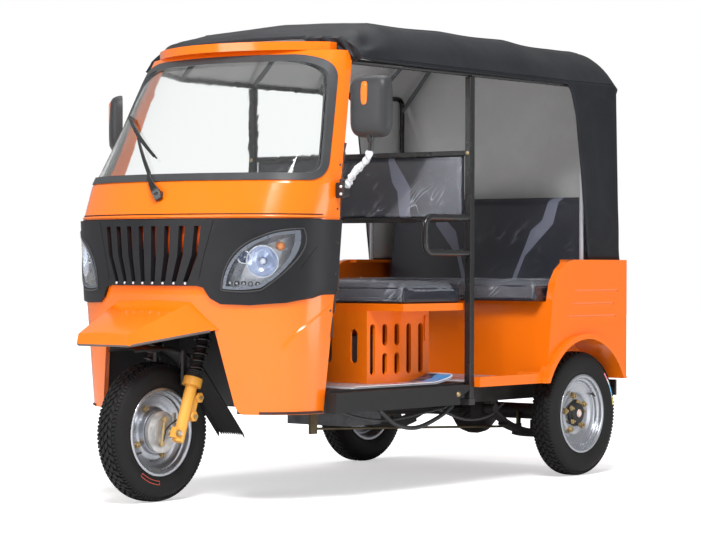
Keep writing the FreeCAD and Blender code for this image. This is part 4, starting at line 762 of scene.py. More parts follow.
# Ribbed grips
grips = bmesh.new()
start = on_fork(0.205, 0.0406, 0.844)
end = on_fork(0.334, 0.0462, 0.844)
for side in (1, -1):
    a = start * Vector((side, 1, 1))
    length = (end - start).length
    profile = [(0.0, 0.012), (0.0, 0.0205), (0.004, 0.0205), (0.006, 0.0165)]
    for rib in range(14):
        at = 0.010 + rib * 0.0075
        profile += [(at, 0.0155), (at + 0.001, 0.0170), (at + 0.004, 0.0170), (at + 0.005, 0.0155)]
    profile += [(length - 0.008, 0.0165), (length, 0.0150), (length, 0.0)]
    turned(grips, profile, a, axis=(end - start) * Vector((side, 1, 1)), steps=28)
grip = piece("ribbed_grips", grips, grip_rubber, "fork")
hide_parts("handlebar_grips")


def thicken(obj, depth, offset):
    """Give a sheet its thickness."""
    solid = obj.modifiers.new("thickness", "SOLIDIFY")
    solid.thickness = depth
    solid.offset = offset
    return solid


# Mudguard: one rubber strip with turned-down edges and a saw-cut flap
guard_r = 0.325
flap = Vector((0.4675, -0.040))
reach = flap.length
leave = math.acos(guard_r / reach) + math.atan2(flap.y, flap.x)
nose = math.radians(95)
line = [Vector((-0.172, 0.322)), Vector((-0.120, 0.3235)), Vector((-0.070, 0.3240))]
line += [Vector((math.cos(nose + (leave - nose) * t), math.sin(nose + (leave - nose) * t))) * guard_r
         for t in (k / 26 for k in range(27))]
last = line[-1]
line += [last.lerp(flap, k / 8) for k in range(1, 9)]
guard = bmesh.new()
columns = 48
rows = []
for k, point in enumerate(line):
    ahead = line[min(k + 1, len(line) - 1)] - line[max(k - 1, 0)]
    outward = Vector((-ahead.y, ahead.x)).normalized()
    if outward.dot(point) < 0:
        outward = -outward
    row = []
    for c in range(columns + 1):
        share = -1 + 2 * c / columns
        edge = max(0.0, abs(share) - 0.90) / 0.10
        crown = 0.0035 * (1 - share * share)
        place = point + outward * (crown - 0.011 * edge ** 2)
        if k == len(line) - 1:
            place = place + (line[-1] - line[-2]).normalized() * (0.0, -0.009, -0.018, -0.009)[c % 4]
        row.append(guard.verts.new((share * 0.069, hub.y + place.x, hub.z + place.y)))
    rows.append(row)
quads(guard, rows)
guard_piece = piece("mudguard_strip", guard, grip_rubber, "fork", crease=70)
thicken(guard_piece, 0.0028, 0)
stays = bmesh.new()
cup = on_fork(LEG_X, LEG_BACK, 0.196)
for side in (1, -1):
    crown = on_fork(side * 0.072, LEG_BACK, 0.196)
    foot = Vector((side * 0.072, cup.y, hub.z + guard_r - 0.012))
    for low, high, wide in ((crown - Vector((0, 0, 0.014)), foot, 0.013),
                            (crown, on_fork(side * (LEG_X - 0.038), LEG_BACK, 0.196), 0.007)):
        tube(stays, [low, high], wide, sides=8)
piece("mudguard_stays", stays, satin_black, "fork")
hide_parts("wheel_mudguard")


# ---------------------------------------------------------------- floor
# Pressed floor with side sills under a textured black coating, and thick grey
# mats with a rolled rim, ribs and washed-out colour prints.
floor_coat = moulded("floor_coat", (0.013, 0.013, 0.0135), (0.024, 0.023, 0.022), gloss=(0.4, 0.55),
                     scale=420.0, depth=0.0004)
dress(floor_coat, "floor_pan")


def print_patch_group():
    """Soft-edged rectangle of worn print: mask from place and half sizes."""
    tree, given, result = shader_group(
        "print_patch",
        [("Centre", "Vector", (0, 0, 0)), ("Half", "Vector", (0.1, 0.1, 1.0)), ("Wear", "Float", 0.4)],
        [("Mask", "Float")])
    place = add(tree, "TexCoord").outputs["Object"]
    warp = add(tree, "TexNoise", {"Vector": place, "Scale": 9.0, "Detail": 3.0})
    shift = add(tree, "VectorMath", {0: warp.outputs["Color"], 1: (0.5, 0.5, 0.5)}, operation="SUBTRACT")
    bend = add(tree, "VectorMath", {0: shift.outputs[0], "Scale": 0.05}, operation="SCALE")
    local = add(tree, "VectorMath", {0: place, 1: given["Centre"]}, operation="SUBTRACT")
    moved = add(tree, "VectorMath", {0: local.outputs[0], 1: bend.outputs[0]}, operation="ADD")
    size = add(tree, "VectorMath", {0: moved.outputs[0], 1: given["Half"]}, operation="DIVIDE")
    extent = add(tree, "VectorMath", {0: size.outputs[0]}, operation="ABSOLUTE")
    apart = add(tree, "SeparateXYZ", {0: extent.outputs[0]})
    edge = calc(tree, "MAXIMUM", apart.outputs["X"], apart.outputs["Y"])
    inside = ramp(tree, edge, 1.0, 0.85)
    rub = clouds(tree, place, 40.0, 4.0)
    worn = ramp(tree, rub, 0.4, 0.6, 1.0, 0.0)
    loss = calc(tree, "MULTIPLY", worn, given["Wear"])
    keep = calc(tree, "SUBTRACT", 1.0, loss)
    mask = calc(tree, "MULTIPLY", inside, keep)
    return give(tree, result, Mask=mask)


print_patch = print_patch_group()


def printed_mat(name, patches):
    """Grey ribbed vinyl with soft patches of (x, y, half x, half y, color)."""
    material, tree, shader = new_material(name)
    skin = place_group(tree, moulded_grain, Color=(0.36, 0.36, 0.40, 1), Bloom=(0.52, 0.52, 0.56, 1),
                       Bloom_Amount=0.5, Scale=260.0, Gloss_Low=0.22, Gloss_High=0.40)
    color = skin["Color"]
    for x, y, half_x, half_y, tint in patches:
        mask = place_group(tree, print_patch, Centre=(x, y, 0), Half=(half_x, half_y, 10.0), Wear=0.35)
        color = blend(tree, mask["Mask"], color, (*tint, 1))
    set_shader(tree, shader, skin["Height"], 0.0006, Base_Color=color, Roughness=skin["Roughness"],
               Coat_Weight=0.25)
    return material


MAT_CORNER = 0.05


def curl_up(distance):
    """Rise of the mat's far edge at a distance short of it."""
    return 0.030 * max(0.0, 1 - distance / 0.17) ** 1.5


def mat_sheet(name, low, high, holes, material, curl=False):
    """Mat with a rolled rim; holes are boxes (x0, x1, y0, y1) left open."""
    mesh = bmesh.new()
    xs = np.linspace(low.x, high.x, 90)
    ys = np.linspace(low.y, high.y, 46)
    grid = []
    for y in ys:
        row = []
        for x in xs:
            edge = min(x - low.x, high.x - x, y - low.y, high.y - y)
            rim = 0.0035 * math.exp(-((edge - 0.014) / 0.007) ** 2)
            rib = 0.0008 * math.cos(2 * math.pi * y / 0.022) if edge > 0.03 else 0.0
            wave = 0.0006 * noise.noise(Vector((x * 5, y * 5, 0)))
            fall = 0.004 * max(0.0, 1 - edge / 0.006)
            if curl and abs(x) > 0.40:
                fall -= curl_up(high.y - y)
            inner = Vector((high.x - MAT_CORNER, high.y - MAT_CORNER))
            bend = Vector((abs(x), y)) - inner
            at = Vector((x, y))
            if bend.x > 0 and bend.y > 0 and bend.length > MAT_CORNER:
                bend = inner + bend.normalized() * MAT_CORNER
                at = Vector((math.copysign(bend.x, x), bend.y))
            row.append(mesh.verts.new((at.x, at.y, high.z - 0.0040 + rim + rib + wave - fall)))
        grid.append(row)
    for j in range(len(ys) - 1):
        for i in range(len(xs) - 1):
            cx, cy = (xs[i] + xs[i + 1]) / 2, (ys[j] + ys[j + 1]) / 2
            if not any(x0 < cx < x1 and y0 < cy < y1 for x0, x1, y0, y1 in holes):
                mesh.faces.new((grid[j][i], grid[j][i + 1], grid[j + 1][i + 1], grid[j + 1][i]))
    for loose in [v for v in mesh.verts if not v.link_faces]:
        mesh.verts.remove(loose)
    sheet = piece(name, mesh, material, "root", crease=60)
    thicken(sheet, 0.003, -1)
    return sheet


mat_low, mat_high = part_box("floor_mats")
seat_low, seat_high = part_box("driver_seat_box")
post_y = middle("driver_backrest").y
front_high = Vector((mat_high.x, post_y - 0.040, mat_high.z))
front_print = printed_mat("front_mat_print", (
    (0.505, post_y - 0.120, 0.052, 0.060, (0.03, 0.33, 0.80)),
    (0.440, post_y - 0.130, 0.030, 0.090, (0.01, 0.03, 0.08)),
    (0.470, post_y - 0.330, 0.060, 0.050, (0.45, 0.14, 0.16)),
    (0.16, -0.42, 0.10, 0.05, (0.45, 0.10, 0.10)),
    (-0.20, -0.40, 0.14, 0.07, (0.25, 0.38, 0.55))))
rear_print = printed_mat("rear_mat_print", (
    (0.36, 0.52, 0.10, 0.05, (0.30, 0.45, 0.75)),
    (0.22, 0.50, 0.10, 0.06, (0.70, 0.35, 0.38)),
    (-0.15, 0.42, 0.20, 0.08, (0.45, 0.50, 0.62))))
liner_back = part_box("wheel_well_liner")[1].y
front_holes = [(0.365, 0.415, mat_low.y, liner_back + 0.05), (-0.415, -0.365, mat_low.y, liner_back + 0.05),
               (seat_low.x - 0.004, seat_high.x + 0.004, seat_low.y - 0.005, front_high.y + 0.01)]
mat_front = mat_sheet("front_mat", mat_low, front_high, front_holes, front_print, curl=True)
mat_rear = mat_sheet("rear_mat", Vector((mat_low.x, post_y + 0.04, mat_low.z)), mat_high,
                     [(0.485, 0.6, 0.63, 2.0), (-0.6, -0.485, 0.63, 2.0)], rear_print)
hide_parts("floor_mats")
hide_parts("floor_mats")

# White edging along the mats' open sides, and the bolt at the sill's end
edging_white = moulded("edging_white", (0.62, 0.62, 0.66), (0.75, 0.75, 0.78), gloss=(0.25, 0.4))
edging = bmesh.new()
EDGE_IN = 0.003
for side in (1, -1):
    z = mat_high.z - 0.0018
    first = Vector((side * (mat_high.x - EDGE_IN), mat_low.y + 0.02, z))
    last = Vector((first.x, front_high.y - MAT_CORNER, z))
    path = [first.lerp(last, k / 40) for k in range(41)]
    for k in range(1, 9):
        turn = math.pi / 2 * k / 8
        out = (MAT_CORNER - EDGE_IN) * math.cos(turn) - MAT_CORNER
        back = (MAT_CORNER - EDGE_IN) * math.sin(turn) - MAT_CORNER
        path.append(Vector((side * (mat_high.x + out), front_high.y + back, z)))
    path.append(Vector((side * (seat_high.x + 0.01), front_high.y - 0.003, z)))
    for p in path:
        p.z += curl_up(front_high.y - p.y)
    tube(edging, path, 0.0026, sides=8)
piece("mat_edging", edging, edging_white, "root", crease=60)
sill_bolt = bmesh.new()
bolt_head = rounded([(-0.004, 0.0), (-0.004, 0.011), (0.002, 0.011), (0.008, 0.007), (0.009, 0.0)], 0.0015)
sill_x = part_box("floor_pan")[1].x + 0.0005
for side in (1, -1):
    turned(sill_bolt, bolt_head, (side * sill_x, post_y - 0.105, mat_high.z - 0.052), axis=(side, 0, 0),
           steps=20)
piece("sill_bolts", sill_bolt, plated_brass, "root")


# ---------------------------------------------------------------- cab shell
# Pressed steel nose, cowl and pillars in glossy orange enamel. A matt black
# moulded band across the nose holds the grille and both headlamps.
orange = painted("orange_paint", (0.90, 0.17, 0.004), gloss=(0.13, 0.22), drift=0.07, coat=0.35, dust=0.04)
dress(orange, "cab_frame", "front_fender", "driver_seat_box", "driver_seat_platform", "rear_tub")
dress(black_plastic, "grille_band", "dash_shelf")


def finished(material):
    """A material's tree, its shader and what feeds the base colour."""
    tree = material.node_tree
    shader = tree.nodes["Principled BSDF"]
    return tree, shader, shader.inputs["Base Color"].links[0].from_socket


def curved(tree, value, points, handle=None):
    """A value read off a curve through the given points."""
    node = add(tree, "FloatCurve", {"Value": value})
    curve = node.mapping.curves[0]
    curve.points[0].location = points[0]
    curve.points[1].location = points[-1]
    for spot in points[1:-1]:
        curve.points.new(*spot)
    if handle:
        for spot in curve.points:
            spot.handle_type = handle
    node.mapping.update()
    return node.outputs[0]


# How far ahead of the middle the flank's pressed crease runs, foot to top
CREASE = (0.945, 0.938, 0.925, 0.905, 0.860, 0.760, 0.640)


def nose_orange_painted_shade():
    """The cab's orange with painted shade where the nose lies in shade behind the grille: near black low
    down, a shaded red-orange near the top.
    """
    material = painted("nose_orange_painted_shade", (0.90, 0.17, 0.004), gloss=(0.13, 0.22), drift=0.07, coat=0.25,
                       dust=0.04)
    tree, shader, base = finished(material)
    # Painted shade: inside the grille's area the base colour is swapped for near black below and shaded
    # red-orange above, and noise wobbles the edge between them.
    place = add(tree, "SeparateXYZ", {0: add(tree, "TexCoord").outputs["Object"]})
    away = calc(tree, "ABSOLUTE", place.outputs["X"])
    inside = ramp(tree, away, 0.262, 0.250)
    above = ramp(tree, place.outputs["Z"], 0.835, 0.845)
    below = ramp(tree, place.outputs["Z"], 1.080, 1.072)
    side = calc(tree, "MULTIPLY", inside, above)
    mask = calc(tree, "MULTIPLY", side, below)
    shade_edge_wobble = clouds(tree, add(tree, "TexCoord").outputs["Object"], 22.0)
    reach = calc(tree, "MULTIPLY_ADD", shade_edge_wobble, 0.12, place.outputs["Z"])
    lit = ramp(tree, reach, 1.015, 1.100)
    shade = blend(tree, lit, (0.030, 0.004, 0.002, 1), (0.62, 0.075, 0.003, 1))
    color = blend(tree, mask, base, shade)
    tree.links.new(color, shader.inputs["Base Color"])
    height = ramp(tree, place.outputs["Z"], 0.35, 0.80)
    crease = curved(tree, height, [(k / (len(CREASE) - 1), at) for k, at in enumerate(CREASE)])
    behind = calc(tree, "ADD", place.outputs["Y"], crease)
    step = ramp(tree, behind, -0.012, 0.012, interpolation_type="SMOOTHSTEP")
    flank = ramp(tree, away, 0.50, 0.56)
    fold = calc(tree, "MULTIPLY", step, flank)
    peel = shader.inputs["Normal"].links[0].from_socket
    pressed = add(tree, "Bump", {"Height": fold, "Distance": 0.010, "Strength": 1.0, "Normal": peel})
    tree.links.new(pressed.outputs["Normal"], shader.inputs["Normal"])
    return material


dress(nose_orange_painted_shade(), "front_apron")
seal_rubber = moulded("seal_rubber", (0.045, 0.047, 0.050), (0.08, 0.08, 0.085), gloss=(0.35, 0.5))
dress(seal_rubber, "windshield_seal")
for name, width in (("front_apron", 0.0035), ("cab_frame", 0.003), ("front_fender", 0.003),
                    ("grille_band", 0.0025), ("headlight_bezels", 0.002), ("windshield_seal", 0.006)):
    ease_edges(nodes[name], "rounded_edges", width, 50)

skins = {}
for name in ("front_apron", "cab_frame", "grille_band", "headlight_lenses", "windshield_glass",
             "windshield_seal"):
    data = nodes[name].data
    skins[name] = BVHTree.FromPolygons([v.co for v in data.vertices], [p.vertices for p in data.polygons])


def on_skin(name, x, z, out=0.0):
    """Place and outward normal where a level line from ahead meets a node."""
    hit, normal = skins[name].ray_cast(Vector((x, -3.0, z)), Vector((0, 1, 0)))[:2]
    if hit is None:
        return None, None
    if normal.y > 0:
        normal = -normal
    return hit + normal * out, normal


def skin_line(name, route, out, steps=10):
    """Points just off a node's front along a smooth line of (x, z)."""
    flat = flowing([(x, z, 0) for x, z in route], steps)
    return [on_skin(name, p.x, p.y, out)[0] for p in flat]


# Seams between the band's panels, the folded flange over it, and thin dark tubes just above and below the
# flange that are painted shadow
seams = bmesh.new()
for side in (1, -1):
    for route in (((0.299, 1.081), (0.284, 1.030), (0.268, 0.979), (0.250, 0.915), (0.236, 0.857)),
                  ((0.598, 0.985), (0.570, 0.900))):
        tube(seams, skin_line("grille_band", [(side * x, z) for x, z in route], 0.0002), 0.0013, sides=6)
groove_and_shadow_black = moulded("groove_and_shadow_black", (0.006, 0.006, 0.006), (0.012, 0.012, 0.012), gloss=(0.5, 0.7))
piece("band_seams", seams, groove_and_shadow_black, "root", crease=60)
flange = bmesh.new()
painted_shadow_line = bmesh.new()
COWL_HALF = 0.594
span = [COWL_HALF * math.sin(k / 40 * math.pi / 2) for k in range(-40, 41)]
# The thin dark tubes at 1.1075 and 1.0895 are painted shadow along the flange, not real grooves.
for mesh, z, radius, out in ((flange, 1.0985, 0.0055, -0.0005), (painted_shadow_line, 1.1075, 0.0022, 0.0004),
                             (painted_shadow_line, 1.0895, 0.0022, 0.0)):
    path = [on_skin("cab_frame", x, z, out)[0] for x in span]
    path.insert(0, Vector((path[0].x - 0.002, path[0].y + 0.12, z)))
    path.append(Vector((path[-1].x + 0.002, path[-1].y + 0.12, z)))
    tube(mesh, path, radius, sides=10)
piece("cowl_flange", flange, orange, "root", crease=60)
piece("cowl_painted_shadow_lines", painted_shadow_line, groove_and_shadow_black, "root", crease=60)

# Grille: bright clips at the feet of the bars
bright_metal = cast_metal("bright_metal", (0.80, 0.80, 0.82), (0.55, 0.55, 0.56), metallic=1.0, amount=0.3,
                          scale=300.0, depth=0.00004)
clips = bmesh.new()
GRILLE_HALF = 0.206
for index in range(8):
    x = (-1 + (2 * index + 1) / 8) * GRILLE_HALF
    place, normal = on_skin("grille_band", x, 0.843, 0.001)
    turned(clips, rounded([(0, 0.0), (0.0, 0.0055), (0.004, 0.0045), (0.005, 0.0)], 0.001), place,
           axis=normal, steps=12)
piece("grille_clips", clips, bright_metal, "root")

# Headlamps: plated bowl, dished main and side reflectors, a row of small
# round markers below and an amber bulb in the outer corner
def plated(name, tint, roughness=(0.05, 0.14), flutes=90.0, depth=0.0004, metal=1.0):
    """Bright plated plastic with pressed flutes."""
    material, tree, shader = new_material(name)
    place = add(tree, "TexCoord").outputs["Object"]
    facets = add(tree, "TexVoronoi", {"Vector": place, "Scale": flutes}, feature="SMOOTH_F1")
    cloud = clouds(tree, place, 30.0, 3.0)
    rough = ramp(tree, cloud, least=roughness[0], most=roughness[1])
    tone = ramp(tree, cloud, least=0.85, most=1.0)
    color = blend(tree, tone, (0.22, 0.25, 0.32, 1), (*tint, 1))
    set_shader(tree, shader, facets.outputs["Distance"], depth, Base_Color=color, Roughness=rough,
               Metallic=metal)
    return material


bowl_silver = plated("bowl_silver", (0.60, 0.63, 0.68), roughness=(0.20, 0.32), metal=0.35)
reflector = plated("reflector", (0.48, 0.56, 0.74), roughness=(0.10, 0.22), flutes=60.0, depth=0.0010)
amber = moulded("amber_bulb", (0.75, 0.22, 0.03), (0.80, 0.30, 0.06), gloss=(0.1, 0.2), coat=0.6)
dress(bowl_silver, "headlight_bowls")
dress(plated("bezel_chrome", (0.20, 0.22, 0.26), roughness=(0.22, 0.34), metal=0.7), "headlight_bezels")
LAMP_PARTS = (
    # x, z, radius, depth behind the lens
    (0.472, 0.927, 0.058, 0.010),
    (0.410, 0.943, 0.022, 0.008),
)
MARKER_X, MARKER_STEP, MARKER_Z = 0.356, 0.0245, 0.8455
BULB = (0.528, 0.985)
dishes, rings, bulbs, markers, marker_cups = (bmesh.new() for _ in range(5))
for side in (1, -1):
    for x, z, radius, depth in LAMP_PARTS:
        rim, normal = on_skin("headlight_lenses", side * x, z, -depth)
        dish = [(-0.032 * (1 - t * t), radius * t) for t in (1.0, 0.95, 0.8, 0.6, 0.4, 0.2, 0.0)]
        turned(dishes, dish, rim, axis=normal, steps=48)
        ring = rounded([(-0.002, radius + 0.0045), (0.003, radius + 0.004), (0.003, radius),
                        (-0.004, radius - 0.001)], 0.0015)
        turned(rings, ring, rim, axis=normal, steps=64)
        cap = rounded([(-0.030, 0.0), (-0.026, radius * 0.22), (-0.010, radius * 0.20),
                       (-0.006, radius * 0.12), (-0.005, 0.0)], 0.001)
        turned(rings, cap, rim, axis=normal, steps=24)
    for index in range(5):
        x = MARKER_X + MARKER_STEP * index
        place, normal = on_skin("headlight_lenses", side * x, MARKER_Z - 0.001 * index, -0.008)
        turned(markers, rounded([(-0.010, 0.0088), (0.002, 0.0092), (0.002, 0.0070), (-0.003, 0.0060)],
                                0.0008), place, axis=normal, steps=24)
        turned(marker_cups, [(-0.003, 0.0062), (-0.006, 0.0040), (-0.002, 0.0030), (-0.001, 0.0)], place,
               axis=normal, steps=20)
    place, normal = on_skin("headlight_lenses", side * BULB[0], BULB[1], -0.030)
    turned(bulbs, rounded([(-0.016, 0.0), (-0.016, 0.017), (0.002, 0.018), (0.014, 0.011), (0.020, 0.0)],
                          0.005), place, axis=normal, steps=24)
piece("lamp_dishes", dishes, reflector, "root")
piece("lamp_rings", rings, bowl_silver, "root")
piece("lamp_markers", markers, groove_and_shadow_black, "root")
piece("lamp_marker_cups", marker_cups, bowl_silver, "root")
piece("lamp_bulbs", bulbs, amber, "root")

# A rounded lip round each lamp
LAMP_MIDDLE = Vector((0.455, 0.915))


def lamp_edge(side, grow):
    """The lamp's leaf outline as (x, z) points, pushed out from its middle."""
    arcs = (((0.332, 0.824), (0.372, 0.938), (0.470, 1.014)),
            ((0.470, 1.014), (0.520, 1.036), (0.573, 1.046)),
            ((0.573, 1.046), (0.556, 0.938), (0.465, 0.828)),
            ((0.465, 0.828), (0.400, 0.820), (0.332, 0.824)))
    points = []
    for a, b, c in arcs:
        for step in range(14):
            t = step / 14
            p = Vector(a) * (1 - t) * (1 - 2 * t) + Vector(b) * 4 * t * (1 - t) + Vector(c) * t * (2 * t - 1)
            away = (p - LAMP_MIDDLE).normalized() * grow
            points.append((side * (p.x + away.x), p.y + away.y))
    return points


lips = bmesh.new()
BAND_HALF = 0.592
for side in (1, -1):
    path = [on_skin("grille_band", x, z, 0.0005)[0] for x, z in lamp_edge(side, 0.009) if abs(x) < BAND_HALF]
    tube(lips, path, 0.0032, sides=8, closed=True)
lip_grey = moulded("lip_grey", (0.045, 0.045, 0.048), (0.07, 0.07, 0.075), gloss=(0.3, 0.45))
piece("lamp_lips", lips, lip_grey, "root", crease=60)

# Rubber trim on the fender's edge
tip_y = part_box("front_fender")[0].y
trim_grey = moulded("trim_grey", (0.10, 0.085, 0.08), (0.16, 0.15, 0.145), gloss=(0.4, 0.55))
trim = bmesh.new()
back_y = middle("front_tyre").y
route = [(-0.286, back_y + 0.022, 0.664), (-0.138, tip_y + 0.004, 0.6095), (0.138, tip_y + 0.004, 0.6095),
         (0.286, back_y + 0.022, 0.664)]
points = []
for a, b in zip(route, route[1:]):
    points += [Vector(a).lerp(Vector(b), 0.5 - 0.47 * math.cos(math.pi * t / 10)) for t in range(11)]
tube(trim, points, 0.0052, sides=10)
piece("fender_trim", trim, trim_grey, "root", crease=60)


def clear(name, tint, roughness=0.02, transmission=1.0):
    """Clear glass or plastic with a faint smear of dust."""
    material, tree, shader = new_material(name)
    smear = clouds(tree, add(tree, "TexCoord").outputs["Object"], 5.0, 6.0)
    haze = ramp(tree, smear, 0.4, 0.8, roughness, roughness + 0.06)
    set_shader(tree, shader, None, Base_Color=(*tint, 1), Roughness=haze, IOR=1.45,
               Transmission_Weight=transmission)
    return material


screen_glass = clear("screen_glass", (0.95, 0.98, 0.97))
lens_plastic = clear("lens_plastic", (0.97, 0.97, 0.98))
tail_red = clear("tail_red", (0.60, 0.01, 0.008), roughness=0.06, transmission=0.3)
dress(screen_glass, "windshield_glass")
dress(lens_plastic, "headlight_lenses")
dress(tail_red, "tail_lamps")

# Mirrors: hollow moulded shells on bent steel arms, an orange reflector on
# each back and the glass on the side that faces the driver
mirror_shell = moulded("mirror_shell", (0.035, 0.036, 0.038), (0.06, 0.06, 0.064), gloss=(0.32, 0.45),
                       scale=500.0, depth=0.00015)
mirror_glass = plated("mirror_glass", (0.92, 0.93, 0.94), roughness=(0.015, 0.03), flutes=3.0, depth=0.00001)
mirror_orange = moulded("mirror_reflector", (0.85, 0.16, 0.01), (0.90, 0.22, 0.02), gloss=(0.15, 0.25),
                        coat=0.5)
MIRRORS = (
    # side, y from the front axle, height, turn
    (1, 0.417, 1.520, 0.0),
    (-1, 0.561, 1.507, -42.0),
)
MIRROR_HALF = 0.092
ARM_FOOT = (0.628, 0.392, 1.200)
mirror_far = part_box("mirrors")[1].x
shells, glasses, reflectors, arms, bolts = (bmesh.new() for _ in range(5))
sleeves = []


def slab(source, half_x, half_z, y0, y1, power, place, bulge=0.0, rings=5, around=48):
    """Rounded slab with a superellipse outline, its y1 face bulged."""
    levels = []
    for step in range(rings + 1):
        t = step / rings
        levels.append((1.0 - 0.22 * (1 - math.sqrt(max(0.0, 1 - t * t))), y0 + (y1 - y0) * t))
    levels += [(0.6, y1 + bulge * 0.6), (0.3, y1 + bulge * 0.9), (0.0, y1 + bulge)]
    rows = []
    for scale, y in levels:
        count = around if scale > 0 else 1
        row = []
        for k in range(count):
            turn = 2 * math.pi * k / around
            c, s = math.cos(turn), math.sin(turn)
            x = half_x * scale * math.copysign(abs(c) ** (2 / power), c)
            z = half_z * scale * math.copysign(abs(s) ** (2 / power), s)
            row.append(source.verts.new(place @ Vector((x, y, z))))
        rows.append(row)
    quads(source, rows, closed=True)
    source.faces.new(list(reversed(rows[0])))


for side, back, height, turn in MIRRORS:
    spin = Matrix.Rotation(math.radians(turn), 4, "Z")
    reach = 0.085 if turn else MIRROR_HALF
    centre = Vector((side * (mirror_far - reach), back_y + back, height))
    place = Matrix.Translation(centre) @ spin
    slab(shells, MIRROR_HALF, 0.119, 0.020, -0.026, 5.0, place, bulge=-0.004)
    slab(glasses, MIRROR_HALF - 0.007, 0.112, 0.018, 0.0215, 5.5, place, rings=1)
    slab(reflectors, 0.0175, 0.048, -0.024, -0.0315, 3.4, place @ Matrix.Translation((-0.008, 0, 0.046)),
         rings=2)
    foot = Vector((side * ARM_FOOT[0], back_y + ARM_FOOT[1], ARM_FOOT[2]))
    low = centre + spin @ Vector((0, 0.002, -0.115))
    path = [foot, foot + Vector((side * 0.022, 0.002, 0.030)), foot + Vector((side * 0.050, 0.006, 0.070)),
            low + Vector((side * -0.010, -0.006, -0.085)), low + Vector((0, 0, -0.030)), low]
    route = flowing(path, 8)
    tube(arms, route, 0.0068, sides=12)
    sleeves.append(route[int(len(route) * 0.10):int(len(route) * 0.72)])
    for drop in (0.014, -0.014):
        turned(bolts, rounded([(-0.002, 0.0), (-0.002, 0.0065), (0.004, 0.0065), (0.006, 0.004),
                               (0.006, 0.0)], 0.001), foot + Vector((side * 0.004, -0.021, drop)),
               axis=(0, -1, 0), steps=6)
    slab(arms, 0.020, 0.030, -0.021, 0.021, 6.0, Matrix.Translation(foot + Vector((-side * 0.004, 0, 0))),
         rings=1)
    turned(arms, rounded([(0.0, 0.0), (0.0, 0.016), (0.020, 0.014), (0.034, 0.010), (0.034, 0.0)], 0.003),
           low + Vector((0, 0, 0.012)), axis=(0, 0, -1), steps=24)
    turned(arms, rounded([(0.0, 0.0), (0.0, 0.017), (0.024, 0.017), (0.024, 0.0)], 0.003),
           foot + Vector((0, 0, 0.020)), axis=(0, 0, 1), steps=24)
mirror = piece("mirror_shells", shells, mirror_shell, "root", crease=40)
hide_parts("mirrors")
piece("mirror_glasses", glasses, mirror_glass, "root", crease=30)
piece("mirror_reflectors", reflectors, mirror_orange, "root", crease=40)
piece("mirror_arms", arms, satin_black, "root", crease=60)
piece("mirror_bolts", bolts, bright_metal, "root")

# Clear bubble wrap wound round each mirror arm
wrap_clear, tree, shader = new_material("arm_wrapping")
place = add(tree, "TexCoord").outputs["Object"]
bubbles = add(tree, "TexVoronoi", {"Vector": place, "Scale": 90.0})
folds = clouds(tree, place, 45.0, 4.0)
cover = ramp(tree, folds, 0.35, 0.65, 0.35, 0.95)
set_shader(tree, shader, bubbles.outputs["Distance"], 0.003, Base_Color=(0.78, 0.80, 0.84, 1),
           Roughness=0.22, Alpha=cover)
sleeve = bmesh.new()
for route in sleeves:
    count = len(route) * 3
    rings = []
    for k in range(count + 1):
        at = k / count * (len(route) - 1)
        i = min(int(at), len(route) - 2)
        spot = route[i].lerp(route[i + 1], at - i)
        along = (route[i + 1] - route[i]).normalized()
        one = along.orthogonal().normalized()
        other = along.cross(one)
        ring = []
        for j in range(24):
            turn = 2 * math.pi * j / 24
            at = Vector((spot.x * 60, math.cos(turn) * 1.5 + spot.z * 60, math.sin(turn) * 1.5))
            radius = 0.0135 + 0.0035 * noise.noise(at)
            radius += 0.0018 * math.sin(turn * 2 + k * 0.55)
            ring.append(sleeve.verts.new(spot + (one * math.cos(turn) + other * math.sin(turn)) * radius))
        rings.append(ring)
    quads(sleeve, rings, closed=True)
piece("mirror_arm_wrapping", sleeve, wrap_clear, "root", crease=180)

# Wiper: a broad pressed arm from a boxed spindle, and a rubber blade in a
# channel clipped to the arm
def off_screen(x, z, out):
    """Place ahead of the screen or the cab round it, and the way out."""
    for name in ("windshield_glass", "windshield_seal", "cab_frame"):
        spot, normal = on_skin(name, x, z)
        if spot:
            return spot + normal * out, normal


def strap(source, path, widths, normals, thick):
    """Flat bar along a path, its broad face turned to the normals."""
    rows = []
    for k, (spot, width, out) in enumerate(zip(path, widths, normals)):
        along = (path[min(k + 1, len(path) - 1)] - path[max(k - 1, 0)]).normalized()
        across = along.cross(out).normalized() * width / 2
        up = out * thick / 2
        corners = (-across - up, across - up, across + up, up - across)
        rows.append([source.verts.new(spot + corner) for corner in corners])
    quads(source, rows, closed=True, capped=True)


wiper_mesh = bmesh.new()
SPINDLE = Vector((0.017, 1.195))
GRIP = Vector((-0.250, 1.420))
BLADE = (Vector((-0.085, 1.329)), Vector((-0.418, 1.511)))
arm_path, arm_out = [], []
for k in range(13):
    flat = SPINDLE.lerp(GRIP, k / 12)
    spot, out = off_screen(flat.x, flat.y, 0.026)
    arm_path.append(Vector((flat.x, spot.y - (0.004 if k < 3 else 0.0), flat.y)))
    arm_out.append(out)
strap(wiper_mesh, arm_path, [0.021 - 0.011 * k / 12 for k in range(13)], arm_out, 0.006)
blade_path, blade_out, blade_top = [], [], []
for k in range(15):
    flat = BLADE[0].lerp(BLADE[1], k / 14)
    spot, out = off_screen(flat.x, flat.y, 0.0075)
    blade_path.append(spot)
    blade_top.append(spot + out * 0.010)
    blade_out.append(out)
strap(wiper_mesh, blade_path, [0.006] * 15, blade_out, 0.014)
strap(wiper_mesh, blade_top, [0.012 + 0.004 * math.sin(math.pi * k / 14) for k in range(15)], blade_out,
      0.006)
foot, out = on_skin("cab_frame", SPINDLE.x, 1.183, -0.001)
turned(wiper_mesh, rounded([(0.0, 0.0), (0.0, 0.017), (0.020, 0.016), (0.030, 0.011), (0.030, 0.0)], 0.003),
       foot, axis=out, steps=32)
